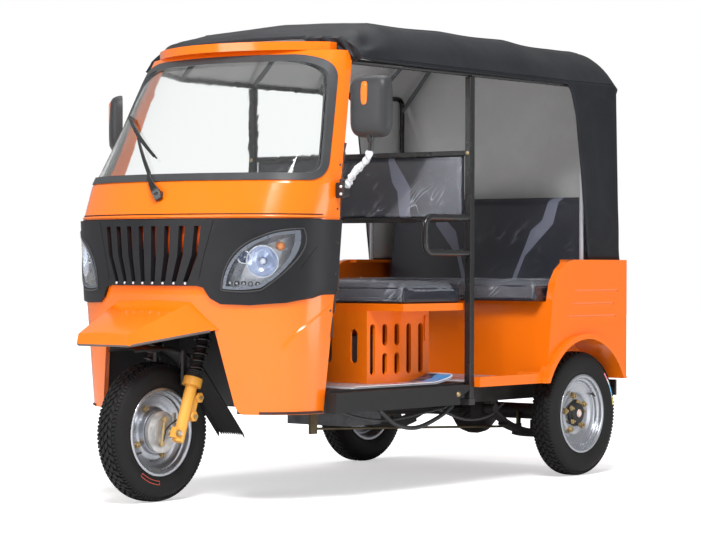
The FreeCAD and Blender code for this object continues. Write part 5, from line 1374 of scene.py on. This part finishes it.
strap(wiper_mesh, [arm_path[0] + Vector((0.014, 0.004, -0.030)), arm_path[0], arm_path[1], arm_path[2]],
      [0.030, 0.034, 0.026, 0.018], arm_out[:4], 0.012)
wiper_piece = piece("wiper_arm", wiper_mesh, satin_black, "root", crease=40, soften=0.0012)
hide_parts("wiper")

# Dark rubber trim down the cab's rear edges and along the apron's foot
trim_brown = moulded("trim_brown", (0.045, 0.022, 0.018), (0.08, 0.04, 0.03), gloss=(0.4, 0.55))
door_trim = bmesh.new()
trim_screws = bmesh.new()
solids = [skins[name] for name in ("front_apron", "cab_frame", "grille_band")]


def rear_edge(side, z):
    """Where the cab's rear edge stands at a height, on its outer corner."""
    best = None
    for solid in solids:
        for x in (0.572, 0.580, 0.588, 0.594):
            spot = solid.ray_cast(Vector((side * x, 0.9, z)), Vector((0, -1, 0)))[0]
            if spot and spot.y < 0.0 and (best is None or spot.y > best.y + 0.001
                                          or abs(spot.y - best.y) < 0.002 and abs(spot.x) > abs(best.x)):
                best = spot
    return best


TRIM_FOOT, TRIM_HEAD = 0.352, 1.700
FAR_OUT = 1.5
for side in (1, -1):
    inward = Vector((-side, 0, 0))
    path = [rear_edge(side, TRIM_FOOT + (TRIM_HEAD - TRIM_FOOT) * k / 90) for k in range(91)]
    path = [p for p in path if p]
    tube(door_trim, [p + Vector((side * 0.0022, 0.0015, 0)) for p in path], 0.0056, sides=8)
    foot = []
    for k in range(74):
        probe = Vector((side * FAR_OUT, path[0].y - 0.004 - 0.0105 * k, TRIM_FOOT + 0.0015))
        for solid in solids:
            spot = solid.ray_cast(probe, inward)[0]
            if spot and abs(spot.x) > 0.42:
                foot.append(spot + Vector((side * 0.0010, 0, -0.002)))
                break
    if len(foot) > 4:
        tube(door_trim, foot, 0.0052, sides=8)
    for z in (0.46, 0.60, 0.74, 0.88, 1.00, 1.13, 1.30, 1.45, 1.60):
        p = rear_edge(side, z)
        if p is None:
            continue
        hit = None
        for solid in solids:
            spot, normal = solid.ray_cast(Vector((side * FAR_OUT, p.y - 0.018, z)), inward)[:2]
            if spot and (hit is None or abs(spot.x) > abs(hit[0].x)):
                hit = (spot, normal)
        screw = rounded([(-0.001, 0.0), (-0.001, 0.0050), (0.0018, 0.0045), (0.0028, 0.0)], 0.0008)
        turned(trim_screws, screw, hit[0], axis=hit[1] if hit[1].x * side > 0 else -hit[1], steps=14)
piece("cab_edge_trim", door_trim, trim_brown, "root", crease=60)
piece("cab_edge_screws", trim_screws, satin_black, "root")

# Hoses and cables slung below the floor, and the latch of the seat box
hoses = bmesh.new()
HOSES = (
    # radius, route as (x, y, z)
    (0.009, ((0.470, -0.250, 0.335), (0.455, -0.120, 0.270), (0.440, 0.040, 0.248), (0.450, 0.180, 0.285),
             (0.430, 0.300, 0.325))),
    (0.006, ((0.440, -0.480, 0.338), (0.430, -0.300, 0.300), (0.415, -0.100, 0.285), (0.400, 0.120, 0.300),
             (0.395, 0.330, 0.322))),
    (0.006, ((0.380, 0.250, 0.315), (0.410, 0.420, 0.262), (0.430, 0.560, 0.270), (0.410, 0.700, 0.320))),
)
for radius, route in HOSES:
    tube(hoses, flowing([Vector(p) for p in route], 10), radius, sides=12)
piece("floor_hoses", hoses, seal_rubber, "root", crease=60)
latch = bmesh.new()
strap(latch, [Vector((seat_high.x + 0.0035, seat_high.y - 0.022, z)) for z in (0.600, 0.640, 0.680, 0.705)],
      [0.020, 0.024, 0.024, 0.018], [Vector((1, 0, 0))] * 4, 0.007)
piece("seat_box_latch", latch, orange, "root", crease=40, soften=0.0015)


# ---------------------------------------------------------------- bulkhead and seats
# Black tube bulkhead with brass-headed bolts; navy vinyl cushions, filled and
# piped, and two upholstered back boards with a kinked grey stripe each side.
# All four are still in their clear wrinkled wrapping.
dress(seal_rubber, "wheel_well_liner")
heads = bmesh.new()
frame_low, frame_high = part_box("bulkhead_frame")
back_low, back_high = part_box("driver_backrest")
post_half = 0.015
rail_half = 0.011
LOOP_LOW, LOOP_HIGH = 0.965, 1.110
LOOP_BEND = 0.040
rail_levels = (back_low.z + 0.0005 - rail_half, back_high.z - 0.0005 + rail_half)
bolt_head = rounded([(-0.004, 0.0), (-0.004, 0.0085), (0.001, 0.0085), (0.0045, 0.005), (0.0055, 0.0)],
                    0.0012)
for side in (1, -1):
    post_x = side * (frame_high.x - post_half)
    for z in (*rail_levels, LOOP_LOW):
        place = Vector((post_x - side * 0.002, post_y - post_half - 0.0005, z))
        turned(heads, bolt_head, place, axis=(0, -1, 0), steps=20)
piece("post_bolts", heads, plated_brass, "root")


def square_bar(source, one, other, half):
    """Straight square bar between two places."""
    strap(source, [one.lerp(other, k / 8) for k in range(9)], [2 * half] * 9, [Vector((0, -1, 0))] * 9,
          2 * half)


tubes = bmesh.new()
for side in (1, -1):
    post_x = side * (frame_high.x - post_half)
    square_bar(tubes, Vector((post_x, post_y, frame_low.z)), Vector((post_x, post_y, frame_high.z)),
               post_half)
    bend_y = frame_low.y + 0.013 + LOOP_BEND
    path = [Vector((post_x, post_y, LOOP_LOW))]
    for centre_z, start in ((LOOP_LOW + LOOP_BEND, -90), (LOOP_HIGH - LOOP_BEND, 180)):
        for k in range(9):
            turn = math.radians(start - 90 * k / 8)
            y = bend_y + LOOP_BEND * math.cos(turn)
            path.append(Vector((post_x, y, centre_z + LOOP_BEND * math.sin(turn))))
    path.append(Vector((post_x, post_y, LOOP_HIGH)))
    tube(tubes, path, 0.0132, sides=16)
for z in rail_levels:
    ends = [Vector((side * (frame_high.x - 2 * post_half), post_y, z)) for side in (1, -1)]
    square_bar(tubes, *ends, rail_half)
bulkhead = piece("bulkhead_tubes", tubes, satin_black, "root", crease=40, soften=0.003)
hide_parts("bulkhead_frame")


def vinyl(name, stripes=None, color=(0.0075, 0.009, 0.0165), bloom=(0.013, 0.015, 0.027)):
    """Navy grained vinyl; stripes are (z0, z1, middle x, left, right) curves."""
    material, tree, shader = new_material(name)
    skin = place_group(tree, moulded_grain, Color=(*color, 1), Bloom=(*bloom, 1), Bloom_Amount=0.5,
                       Scale=420.0, Gloss_Low=0.34, Gloss_High=0.48)
    shade = skin["Color"]
    if stripes:
        z0, z1, middle_x, left, right = stripes
        place = add(tree, "SeparateXYZ", {0: add(tree, "TexCoord").outputs["Object"]})
        height = ramp(tree, place.outputs["Z"], z0, z1)
        shift = calc(tree, "SUBTRACT", place.outputs["X"], middle_x)
        across = calc(tree, "ABSOLUTE", shift)
        masks = []
        for points, test in ((left, "GREATER_THAN"), (right, "LESS_THAN")):
            masks.append(calc(tree, test, across, curved(tree, height, points, "VECTOR")))
        mask = calc(tree, "MULTIPLY", masks[0], masks[1])
        shade = blend(tree, mask, shade, (0.155, 0.165, 0.225, 1))
    set_shader(tree, shader, skin["Height"], 0.00001, Base_Color=shade, Roughness=skin["Roughness"],
               Coat_Weight=0.15, Coat_Roughness=0.2)
    return material


navy = vinyl("navy_vinyl")
driver_stripe = vinyl("driver_back_vinyl", (
    back_low.z, back_high.z, 0.0,
    ((0.0, 0.231), (0.43, 0.221), (0.58, 0.193), (1.0, 0.168)),
    ((0.0, 0.288), (0.49, 0.288), (0.70, 0.254), (1.0, 0.197))))
rest_low, rest_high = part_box("passenger_backrest")
passenger_stripe = vinyl("passenger_back_vinyl", (
    rest_low.z, rest_high.z, 0.03,
    ((0.0, 0.100), (0.19, 0.126), (0.52, 0.184), (0.68, 0.209), (0.78, 0.267), (1.0, 0.291)),
    ((0.0, 0.112), (0.19, 0.150), (0.43, 0.190), (0.74, 0.326), (1.0, 0.347))))


def inflate(name, low, high, round_off, cap, material):
    """Cushion blown up under pressure from a slightly smaller rounded box."""
    source = bmesh.new()
    bmesh.ops.create_cube(source, size=1.0)
    middle_point = (low + high) / 2
    size = high - low
    inset = min(cap * 0.55, size.z * 0.2)
    for v in source.verts:
        v.co = Vector((v.co.x * (size.x - inset), v.co.y * (size.y - inset), v.co.z * (size.z - inset)))
        v.co += middle_point - Vector((0, 0, inset * 0.5))
    bmesh.ops.bevel(source, geom=list(source.edges), offset=round_off, segments=4, profile=0.5,
                    affect="EDGES")
    data = bpy.data.meshes.new(name + "_core")
    source.to_mesh(data)
    source.free()
    core = stand(name + "_core", data)
    mesher = core.modifiers.new("mesher", "REMESH")
    mesher.mode = "VOXEL"
    mesher.voxel_size = 0.007
    graph = bpy.context.evaluated_depsgraph_get()
    fine = bpy.data.meshes.new_from_object(core.evaluated_get(graph))
    core.modifiers.clear()
    core.data = fine
    start = np.array([v.co[:] for v in fine.vertices])
    held = core.vertex_groups.new(name="held")
    held.add([i for i, co in enumerate(start) if co[2] < low.z + 0.006], 1.0, "REPLACE")
    cloth = core.modifiers.new("filling", "CLOTH")
    cloth.settings.use_pressure = True
    cloth.settings.uniform_pressure_force = 4.0
    cloth.settings.effector_weights.gravity = 0.0
    cloth.settings.quality = 4
    cloth.settings.vertex_group_mass = "held"
    cloth.point_cache.frame_start = 1
    cloth.point_cache.frame_end = 20
    for number in range(1, 21):
        bpy.context.scene.frame_set(number)
    graph = bpy.context.evaluated_depsgraph_get()
    blown = bpy.data.meshes.new_from_object(core.evaluated_get(graph))
    core.modifiers.clear()
    bpy.context.scene.frame_set(1)
    moved = np.array([v.co[:] for v in blown.vertices]) - start
    length = np.linalg.norm(moved, axis=1, keepdims=True)
    moved *= np.minimum(1.0, cap / np.maximum(length, 1e-9))
    start = start + moved
    for axis in range(3):
        least, most = start[:, axis].min(), start[:, axis].max()
        share = (start[:, axis] - least) / (most - least)
        start[:, axis] = low[axis] + 0.0005 + share * (high[axis] - low[axis])
    source = bmesh.new()
    source.from_mesh(fine)
    source.verts.ensure_lookup_table()
    for v, co in zip(source.verts, start):
        v.co = co
    for _ in range(3):
        bmesh.ops.smooth_vert(source, verts=source.verts, factor=0.4, use_axis_x=True, use_axis_y=True,
                              use_axis_z=True)
    bpy.data.objects.remove(core)
    return piece(name, source, material, "root", crease=80)


def surface_of(obj):
    """Search tree over an object's finished surface."""
    graph = bpy.context.evaluated_depsgraph_get()
    return BVHTree.FromObject(obj, graph)


def piping(name, cushion, route, material, radius=0.0032):
    """Round welt along a closed route laid against a cushion."""
    tree = surface_of(cushion)
    path = []
    for p in route:
        spot, normal = tree.find_nearest(p)[:2]
        path.append(spot + normal * radius * 0.25)
    source = bmesh.new()
    tube(source, path, radius, sides=8, closed=True)
    return piece(name, source, material, "root", crease=60)


def rectangle(low, high, z, corner=0.03, step=0.02):
    """Closed level path round a rectangle with cut corners."""
    path = []
    corners = [(low.x, low.y), (high.x, low.y), (high.x, high.y), (low.x, high.y)]
    for (ax, ay), (bx, by) in zip(corners, corners[1:] + corners[:1]):
        a, b = Vector((ax, ay, z)), Vector((bx, by, z))
        along = (b - a).normalized()
        count = max(2, int((b - a).length / step))
        path += [(a + along * corner).lerp(b - along * corner, k / count) for k in range(count + 1)]
    return path


cushions = {}
for name in ("driver_cushion", "passenger_cushion"):
    low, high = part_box(name)
    made = inflate(name + "_filled", low, high, 0.022, 0.014, navy)
    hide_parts(name)
    cushions[name] = made
    for label, share in (("upper", 0.80), ("lower", 0.22)):
        route = rectangle(low, high, low.z + (high.z - low.z) * share)
        piping(name + "_" + label + "_welt", made, route, navy)


def board(name, node, material, lean=0.0, depth=None, crown=0.004, columns=60, rows=24):
    """Upholstered back board: flat face, rolled edges, soft tucks."""
    low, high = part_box(node)
    size = high - low
    depth = depth or size.y
    source = bmesh.new()
    for face in (0, 1):
        grid = []
        for j in range(rows + 1):
            v = j / rows
            line = []
            for i in range(columns + 1):
                u = i / columns
                x = low.x + size.x * u
                z = low.z + size.z * v
                edge = min(u * size.x, (1 - u) * size.x, v * size.z, (1 - v) * size.z)
                roll = depth / 2 * (1 - math.sqrt(max(0.0, 1 - max(0.0, 1 - edge / 0.02) ** 2)))
                front = low.y + lean * (z - low.z)
                y = front + depth - roll
                if face == 0:
                    swell = crown * (1 - (2 * u - 1) ** 4) * (1 - (2 * v - 1) ** 4)
                    dent = 0.0012 * noise.noise(Vector((x * 7, z * 7, 0))) if edge > 0 else 0.0
                    y = max(front, front + roll + (crown - swell) * 0.6 + dent)
                line.append(source.verts.new((x, y, z)))
            grid.append(line)
        quads(source, grid if face == 0 else grid[::-1])
    bmesh.ops.remove_doubles(source, verts=source.verts, dist=0.0008)
    made = piece(name, source, material, "root", crease=60)
    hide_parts(node)
    return made


board("driver_back_board", "driver_backrest", driver_stripe)
rest_lean = 0.068 / (rest_high.z - rest_low.z)
board("passenger_back_board", "passenger_backrest", passenger_stripe, lean=rest_lean, depth=0.079,
      crown=0.010)


def wrapping(name, base=0.10, haze=0.0, slope=None, bright=0.5):
    """Clear film: nearly invisible, with painted white glints (painted highlights) along its creases."""
    material, tree, shader = new_material(name)
    place = add(tree, "TexCoord").outputs["Object"]
    bend = add(tree, "TexNoise", {"Vector": place, "Scale": 3.0, "Detail": 2.0})
    push = add(tree, "VectorMath", {0: bend.outputs["Color"], "Scale": 0.10}, operation="SCALE")
    moved = add(tree, "VectorMath", {0: place, 1: push.outputs[0]}, operation="ADD")
    along = add(tree, "VectorMath", {0: moved.outputs[0], 1: (0.10, -0.10, 0.11)}, operation="DOT_PRODUCT")
    across = add(tree, "VectorMath", {0: moved.outputs[0], 1: (0.72, 0.72, -0.72)}, operation="DOT_PRODUCT")
    slant = add(tree, "CombineXYZ", {0: along.outputs["Value"], 1: across.outputs["Value"]})
    patchy = clouds(tree, place, 7.0, 2.0)
    shown = ramp(tree, patchy, 0.46, 0.66)
    # Painted highlights: thin crests of noise raise the pale film's opacity, standing in for glints along its
    # creases.
    painted_glint_lines = None
    for vector, scale, width in ((slant.outputs[0], 11.0, 0.010), (moved.outputs[0], 7.0, 0.0022),
                                 (slant.outputs[0], 30.0, 0.016)):
        streak = clouds(tree, vector, scale, 1.0)
        apart = calc(tree, "SUBTRACT", streak, 0.5)
        near = calc(tree, "ABSOLUTE", apart)
        crest = ramp(tree, near, 0.0, width, 1.0, 0.0)
        painted_glint_lines = crest if painted_glint_lines is None else calc(tree, "MAXIMUM", painted_glint_lines, crest)
    painted_glint_lines = calc(tree, "MULTIPLY", painted_glint_lines, shown)
    alpha = ramp(tree, painted_glint_lines, least=base, most=base + bright)
    if slope:
        apart = add(tree, "SeparateXYZ", {0: moved.outputs[0]})
        tilt = calc(tree, "MULTIPLY_ADD", apart.outputs["Z"], slope[0], slope[1])
        side = calc(tree, "SUBTRACT", apart.outputs["X"], tilt)
        near = ramp(tree, side, -0.01, 0.03, 0.0, haze)
        alpha = calc(tree, "ADD", alpha, near, use_clamp=True)
    set_shader(tree, shader, streak, 0.003, Base_Color=(0.78, 0.82, 0.92, 1), Roughness=0.16, Alpha=alpha,
               Specular_IOR_Level=0.8)
    return material


film_clear = wrapping("clear_film", base=0.02, bright=0.12)
film_thick = wrapping("thick_film", base=0.13)
film_hazy = wrapping("hazy_film", base=0.03, bright=0.42, haze=0.15, slope=(0.80, -0.706))


def crumple(p, seed):
    """Sharp-crested creases, 0 to 1, at a place on a film."""
    a = noise.noise(Vector((p.x * 9 + seed, p.y * 9, p.z * 9)))
    b = noise.noise(Vector((p.x * 21, p.y * 21 + seed, p.z * 21)))
    return (1 - abs(a) * 2.2) ** 3 * 0.7 + (1 - abs(b) * 2.2) ** 3 * 0.3


def film(name, place, counts, material, seed, height):
    """Creased film laid over place(u, v), which gives a point and a normal."""
    source = bmesh.new()
    grid = []
    for j in range(counts[1] + 1):
        line = []
        for i in range(counts[0] + 1):
            spot, out = place(i / counts[0], j / counts[1])
            line.append(source.verts.new(spot + out * (0.0012 + height * max(0.0, crumple(spot, seed)))))
        grid.append(line)
    quads(source, grid)
    return piece(name, source, material, "root", crease=180)


def over_cushion(node, hang, inset=0.010):
    """Place on a cushion's film: the top, round the front edge, down the front."""
    low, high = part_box(node)
    tree = surface_of(cushions[node])
    bend = 0.030
    rear_y = high.y - 0.05
    top = rear_y - low.y - bend
    corner = bend * math.pi / 2

    def place(u, v):
        x = low.x + inset + (high.x - low.x - 2 * inset) * u
        along = (top + corner + hang - bend) * v
        turn = min(math.pi / 2, max(0.0, (along - top) / bend))
        way = Vector((0, math.sin(turn), -math.cos(turn)))
        down = bend + max(0.0, along - top - corner)
        probe = Vector((x, rear_y - min(along, top), high.z - down)) - way * 0.1
        spot, normal = tree.ray_cast(probe, way)[:2]
        if spot is None:
            spot, normal = tree.find_nearest(probe + way * (0.1 - bend))[:2]
        return spot, (normal - way * 0.4).normalized()
    return place


for seed, node in ((3.1, "driver_cushion"), (8.7, "passenger_cushion")):
    wrap = film(node + "_film", over_cushion(node, 0.075), (200, 84), film_thick, seed, height=0.008)


def over_board(node, lean=0.0, margin=0.004):
    """Place on a back board's film, just ahead of its face."""
    low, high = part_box(node)

    def place(u, v):
        x = low.x + margin + (high.x - low.x - 2 * margin) * u
        z = low.z + margin + (high.z - low.z - 2 * margin) * v
        return Vector((x, low.y + lean * (z - low.z) - 0.0012, z)), Vector((0, -1, 0))
    return place


wrap = film("driver_back_film", over_board("driver_backrest"), (150, 50), film_hazy, 5.5, height=0.004)
wrap = film("passenger_back_film", over_board("passenger_backrest", rest_lean), (140, 60), film_clear, 1.7,
            height=0.004)


# ---------------------------------------------------------------- roof
# One coated canvas: tied to the visor at the front, stretched over five bows,
# and closed behind and round both rear quarters down to the tub. It sags a
# little between the bows and is black outside with a grey woven lining.
def canvas(name, color, bloom, gloss, weave=0.00022):
    """Coated canvas: woven grain, slow cockles and faint chalky rubbing."""
    material, tree, shader = new_material(name)
    place = add(tree, "TexCoord").outputs["Object"]
    warp = add(tree, "TexWave", {"Vector": place, "Scale": 160.0, "Distortion": 1.5}, bands_direction="X")
    weft = add(tree, "TexWave", {"Vector": place, "Scale": 160.0, "Distortion": 1.5}, bands_direction="Z")
    cloth = calc(tree, "MULTIPLY", warp.outputs["Fac"], weft.outputs["Fac"])
    cockle = clouds(tree, place, 8.0, 4.0)
    rub = clouds(tree, place, 2.6, 6.0, 0.7)
    chalk = ramp(tree, rub, 0.45, 0.8)
    shade = blend(tree, chalk, (*color, 1), (*bloom, 1))
    rough = ramp(tree, cockle, least=gloss[0], most=gloss[1])
    fine = add(tree, "Bump", {"Height": cloth, "Distance": weave, "Strength": 1.0})
    broad = add(tree, "Bump", {"Height": cockle, "Distance": 0.004, "Strength": 0.5,
                               "Normal": fine.outputs["Normal"]})
    set_shader(tree, shader, Base_Color=shade, Roughness=rough, Sheen_Weight=0.02,
               Specular_IOR_Level=0.22, Normal=broad.outputs["Normal"])
    return material


canopy_black = canvas("canopy_black", (0.0085, 0.0095, 0.0125), (0.016, 0.0175, 0.022), (0.40, 0.56))
canopy_lining = canvas("canopy_lining", (0.58, 0.59, 0.59), (0.66, 0.67, 0.67), (0.7, 0.85))


def rail_paint():
    """Black rails; the upright quarter posts are left galvanised."""
    post_y, post_half, post_top = 1.0445, 0.015, 1.688
    material = painted("rail_paint", (0.014, 0.014, 0.015), gloss=(0.22, 0.34), drift=0.2)
    tree, shader, base = finished(material)
    place = add(tree, "SeparateXYZ", {0: add(tree, "TexCoord").outputs["Object"]})
    away = calc(tree, "SUBTRACT", place.outputs["Y"], post_y)
    near = calc(tree, "ABSOLUTE", away)
    narrow = calc(tree, "LESS_THAN", near, post_half)
    below = calc(tree, "LESS_THAN", place.outputs["Z"], post_top)
    mask = calc(tree, "MULTIPLY", narrow, below)
    color = blend(tree, mask, base, (0.34, 0.35, 0.38, 1))
    tree.links.new(color, shader.inputs["Base Color"])
    return material


dress(rail_paint(), "roof_rails")
bow_grey = painted("bow_grey", (0.13, 0.14, 0.15), gloss=(0.25, 0.38), drift=0.2)
dress(bow_grey, "roof_bows")

# Where the cloth starts, bends down and ends, its half width and its bows
canopy_low, canopy_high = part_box("canopy")
FRONT_Y = canopy_low.y
KNEE_Y = 1.3065
FOOT = (canopy_high.y - 0.002, canopy_low.z + 0.0008)
SIDE_X = canopy_high.x - 0.001
BOW_Y = (-0.2705, 0.1995, 0.6595, 1.0745, 1.2815)
SECTIONS = (
    # y, eave half, shoulder half, shoulder z, crown z, eave z
    (-0.5005, 0.578, 0.462, 1.806, 1.817, 1.722),
    (-0.440, 0.592, 0.458, 1.842, 1.858, 1.716),
    (-0.2855, 0.612, 0.450, 1.882, 1.901, 1.709),
    (0.1995, 0.615, 0.453, 1.886, 1.905, 1.706),
    (0.6595, 0.6165, 0.455, 1.884, 1.909, 1.704),
    (1.0745, 0.6165, 0.450, 1.870, 1.893, 1.704),
    (1.200, 0.6165, 0.447, 1.875, 1.899, 1.706),
    (1.2815, 0.6165, 0.442, 1.867, 1.893, 1.707),
    (1.3065, 0.6165, 0.440, 1.864, 1.890, 1.708),
)
QUARTER = ((0.8885, 1.706), (0.9265, 1.669), (0.9645, 1.570), (1.0130, 1.288), (1.0620, FOOT[1]))


def mix(table, at):
    """Row of a table at a place, read straight between its entries."""
    if at <= table[0][0]:
        return table[0]
    for one, other in zip(table, table[1:]):
        if at <= other[0]:
            t = (at - one[0]) / (other[0] - one[0])
            return [a + (b - a) * t for a, b in zip(one, other)]
    return table[-1]


ROOF_COLUMNS = 72
SIDE_ROWS = 40


def arch(y):
    """Half cross-section from crown to eave as (x, z), soft at the shoulder."""
    _, eave, shoulder, shoulder_z, crown, eave_z = mix(SECTIONS, y)
    corner = [Vector((0, crown)), Vector((shoulder * 0.55, crown * 0.35 + shoulder_z * 0.65 + 0.004)),
              Vector((shoulder, shoulder_z)),
              Vector(((shoulder + eave) / 2 + 0.016, (shoulder_z + eave_z) / 2 + 0.013)),
              Vector((eave, eave_z))]
    spans = [(corner[i + 1] - corner[i]).length for i in range(4)]
    whole = sum(spans)
    shifts = (-0.045, -0.03, -0.015, 0.0, 0.015, 0.03, 0.045)
    line = []
    for k in range(ROOF_COLUMNS // 2 + 1):
        run = k / (ROOF_COLUMNS // 2) * whole
        reach = min(1.0, min(run, whole - run) / 0.05)
        place = Vector((0, 0))
        for shift in shifts:
            here = min(whole, max(0.0, run + shift * reach))
            index = 0
            while index < 3 and here > spans[index]:
                here -= spans[index]
                index += 1
            place += corner[index].lerp(corner[index + 1], here / spans[index])
        line.append(place / len(shifts))
    return line


def sag(x, y, z):
    """How far the cloth drops between two bows, plus loose folds."""
    depth = 0.0
    for a, b in zip(BOW_Y, BOW_Y[1:]):
        if a < y < b:
            depth = 0.007 * min(1.0, (b - a) / 0.4) * math.sin(math.pi * (y - a) / (b - a)) ** 1.5
            depth *= 1.7 if a > 0.6 and b < 1.1 else 1.0
    loose = noise.noise(Vector((x * 2.2, y * 2.4, z * 2.0))) * 0.0035
    fold = noise.noise(Vector((x * 9.0 + 4, y * 3.0, z * 4.0))) * 0.0016
    return depth + loose + fold


def pucker(x, y, z):
    """Gathers that run out from the tie at each front corner."""
    tie = Vector((0.575, FRONT_Y, 1.735))
    away = Vector((abs(x), y, z)) - tie
    reach = away.length
    turn = math.atan2(away.z, away.y + 0.02)
    deep = math.exp(-(reach / 0.17) ** 2) * min(1.0, reach / 0.03)
    ridge = math.exp(-((reach - 0.13) / 0.05) ** 2 - ((turn - 0.95) / 0.45) ** 2)
    return 0.0075 * deep * math.sin(turn * 9.0) + 0.010 * ridge


# Rows along the roof, round the knee and down the back
mesh = bmesh.new()
ys = [FRONT_Y + 0.001]
while ys[-1] < KNEE_Y - 0.066:
    ys.append(ys[-1] + 0.0245)
quarter_start = min(range(len(ys)), key=lambda k: abs(ys[k] - QUARTER[0][0]))
ys[quarter_start] = QUARTER[0][0]
ROUND = 0.060
last_y = ys[-1]
rows = []


def row_points(y, inset=0.0, share=0.0, full=False):
    """One row from the left hem over the crown to the right hem."""
    half = arch(y)
    points = []
    for side in (1, -1):
        line = []
        for k, p in enumerate(half):
            t = k / (len(half) - 1)
            x, z = p
            normal = Vector((0.3, 1.0)) if t < 0.45 else Vector((1.0, 0.75))
            normal.normalize()
            off = -sag(side * x, y, z) * min(1.0, 0.25 + 1.2 * (1 - t) * 1.4) + pucker(x, y, z) - inset
            if t > 0.93 and not full:
                off *= max(0.0, 1 - (t - 0.93) / 0.07 * 0.7)
            off *= 1.0 if y > FRONT_Y + 0.03 else 0.3
            line.append(Vector((side * (x + normal.x * off * (x > 0.02)), y, z + normal.y * off)))
        if full:
            eave_z = line[-1].z
            for k in range(1, SIDE_ROWS + 1):
                z = eave_z + (FOOT[1] - eave_z) * k / SIDE_ROWS
                front = mix([(-q[1], q[0]) for q in QUARTER], -z)[1]
                rear = KNEE_Y + (FOOT[0] - KNEE_Y) * (1.708 - z) / (1.708 - FOOT[1])
                at = front + (rear - front) * share
                soft = noise.noise(Vector((at * 6.0, z * 1.5, side * 3.0))) * 0.004
                bulge = 0.004 * math.exp(-((z - 1.08) / 0.08) ** 2)
                edge = min(1.0, k / 4) * min(1.0, (SIDE_ROWS - k) / 3 + 0.2)
                x = SIDE_X - 0.004 - inset * 0.6 + (soft - 0.002) * edge + bulge * edge * 0.5
                line.append(Vector((side * min(x, SIDE_X), at, z)))
        points.append(line)
    left, right = points
    return list(reversed(left)) + right[1:]


roof_front = (last_y - QUARTER[0][0]) / (KNEE_Y - QUARTER[0][0])
for index, y in enumerate(ys):
    full = index >= quarter_start
    share = (y - QUARTER[0][0]) / (KNEE_Y - QUARTER[0][0]) if full else 0.0
    rows.append([mesh.verts.new(p) for p in row_points(y, share=share, full=full)])
for degrees in (12, 26, 40, 54, 68, 80):
    bend = math.radians(degrees)
    step = ROUND * math.sin(bend)
    inset = ROUND * 0.9 * (1 - math.cos(bend))
    share = roof_front + (1 - roof_front) * math.sin(bend)
    rows.append([mesh.verts.new(p) for p in row_points(last_y + step, inset=inset, share=share, full=True)])

count = len(rows[-1])
rim = [v.co.copy() for v in rows[-1]]
BACK_ROWS = 44
for j in range(1, BACK_ROWS + 1):
    t = j / BACK_ROWS
    line = []
    for k, p in enumerate(rim):
        u = 2 * k / (count - 1) - 1
        low = Vector((-u * (SIDE_X - ROUND * 0.75), FOOT[0] - 0.002, FOOT[1]))
        spot = p.lerp(low, t)
        swell = math.sin(math.pi * t) * (1 - abs(u) ** 3)
        spot.y = max(p.y, min(low.y, spot.y)) + 0.006 * min(1.0, 3 * t) * (1 - t)
        loose = noise.noise(Vector((spot.x * 4, spot.z * 1.6, 7.0))) * math.sin(math.pi * min(1, t * 1.2))
        spot.y += 0.003 * loose - 0.004 * swell
        spot.y = min(spot.y, FOOT[0] - 0.001)
        line.append(mesh.verts.new(spot))
    rows.append(line)

for one, other in zip(rows, rows[1:]):
    first = (len(other) - len(one)) // 2
    quads(mesh, [one, other[first:first + len(one)]])

# Gathered corner cloth, tied down at the top of each cab pillar
FAN = 21
for side in (1, -1):
    tie = mesh.verts.new((side * 0.540, FRONT_Y + 0.010, 1.714))
    edge = rows[0][-FAN:] if rows[0][-1].co.x * side > 0 else rows[0][:FAN]
    rings = [edge]
    for t in (0.30, 0.62):
        ring = []
        for k, v in enumerate(edge):
            fold = 0.007 * math.sin(k * 1.25) * min(1.0, k / 4, (FAN - 1 - k) / 4)
            ring.append(mesh.verts.new(v.co.lerp(tie.co, t) + Vector((0, fold - 0.002, 0))))
        rings.append(ring)
    quads(mesh, rings + [[tie]])
bmesh.ops.remove_doubles(mesh, verts=mesh.verts, dist=0.0003)
seam_lines = []
for side in (1, -1):
    for offset in (22, 35):
        line = []
        for row in rows[8:len(ys)]:
            k = len(row) // 2 - side * offset
            if 0 <= k < len(row) and row[k].is_valid:
                line.append(row[k].co.copy() + Vector((side * 0.0004, 0, 0.0004)))
        seam_lines.append(line)
edge_points = {}
for e in mesh.edges:
    if len(e.link_faces) == 1:
        for v in e.verts:
            edge_points.setdefault(v, []).append(e.other_vert(v))
start = max(edge_points, key=lambda v: -v.co.y + v.co.x)
hem_path = [start.co.copy()]
before, here = start, edge_points[start][0]
while here is not start and len(hem_path) < 5000:
    hem_path.append(here.co.copy())
    after = [w for w in edge_points[here] if w is not before]
    if not after:
        break
    before, here = here, after[0]
canopy = piece("canopy_cloth", mesh, canopy_black, "root", crease=50)
canopy.data.materials.append(canopy_lining)
if sum(p.normal.z * p.area for p in canopy.data.polygons) < 0:
    canopy.data.flip_normals()
thickness = thicken(canopy, 0.0016, -1)
thickness.material_offset = 1
thickness.material_offset_rim = 0
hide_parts("canopy")

# Lapped seams that run the length of the roof
seams = bmesh.new()
for line in seam_lines:
    tube(seams, line, 0.0016, sides=6)
piece("canopy_seams", seams, canopy_black, "root", crease=70)

# Rolled hem along the whole edge
hem = bmesh.new()
spaced = [hem_path[0]]
for p in hem_path[1:]:
    if (p - spaced[-1]).length > 0.012:
        spaced.append(p)
tucked = []
for p in spaced:
    q = p.copy()
    q.x -= 0.0022 * (1 if p.x > 0 else -1) if abs(p.x) > 0.5 else 0.0
    q.z += 0.002 if p.z < 1.2 else 0.0
    tucked.append(q)
tube(hem, tucked, 0.0034, sides=8, closed=True)
hem_piece = piece("canopy_hem", hem, canopy_black, "root", crease=70)
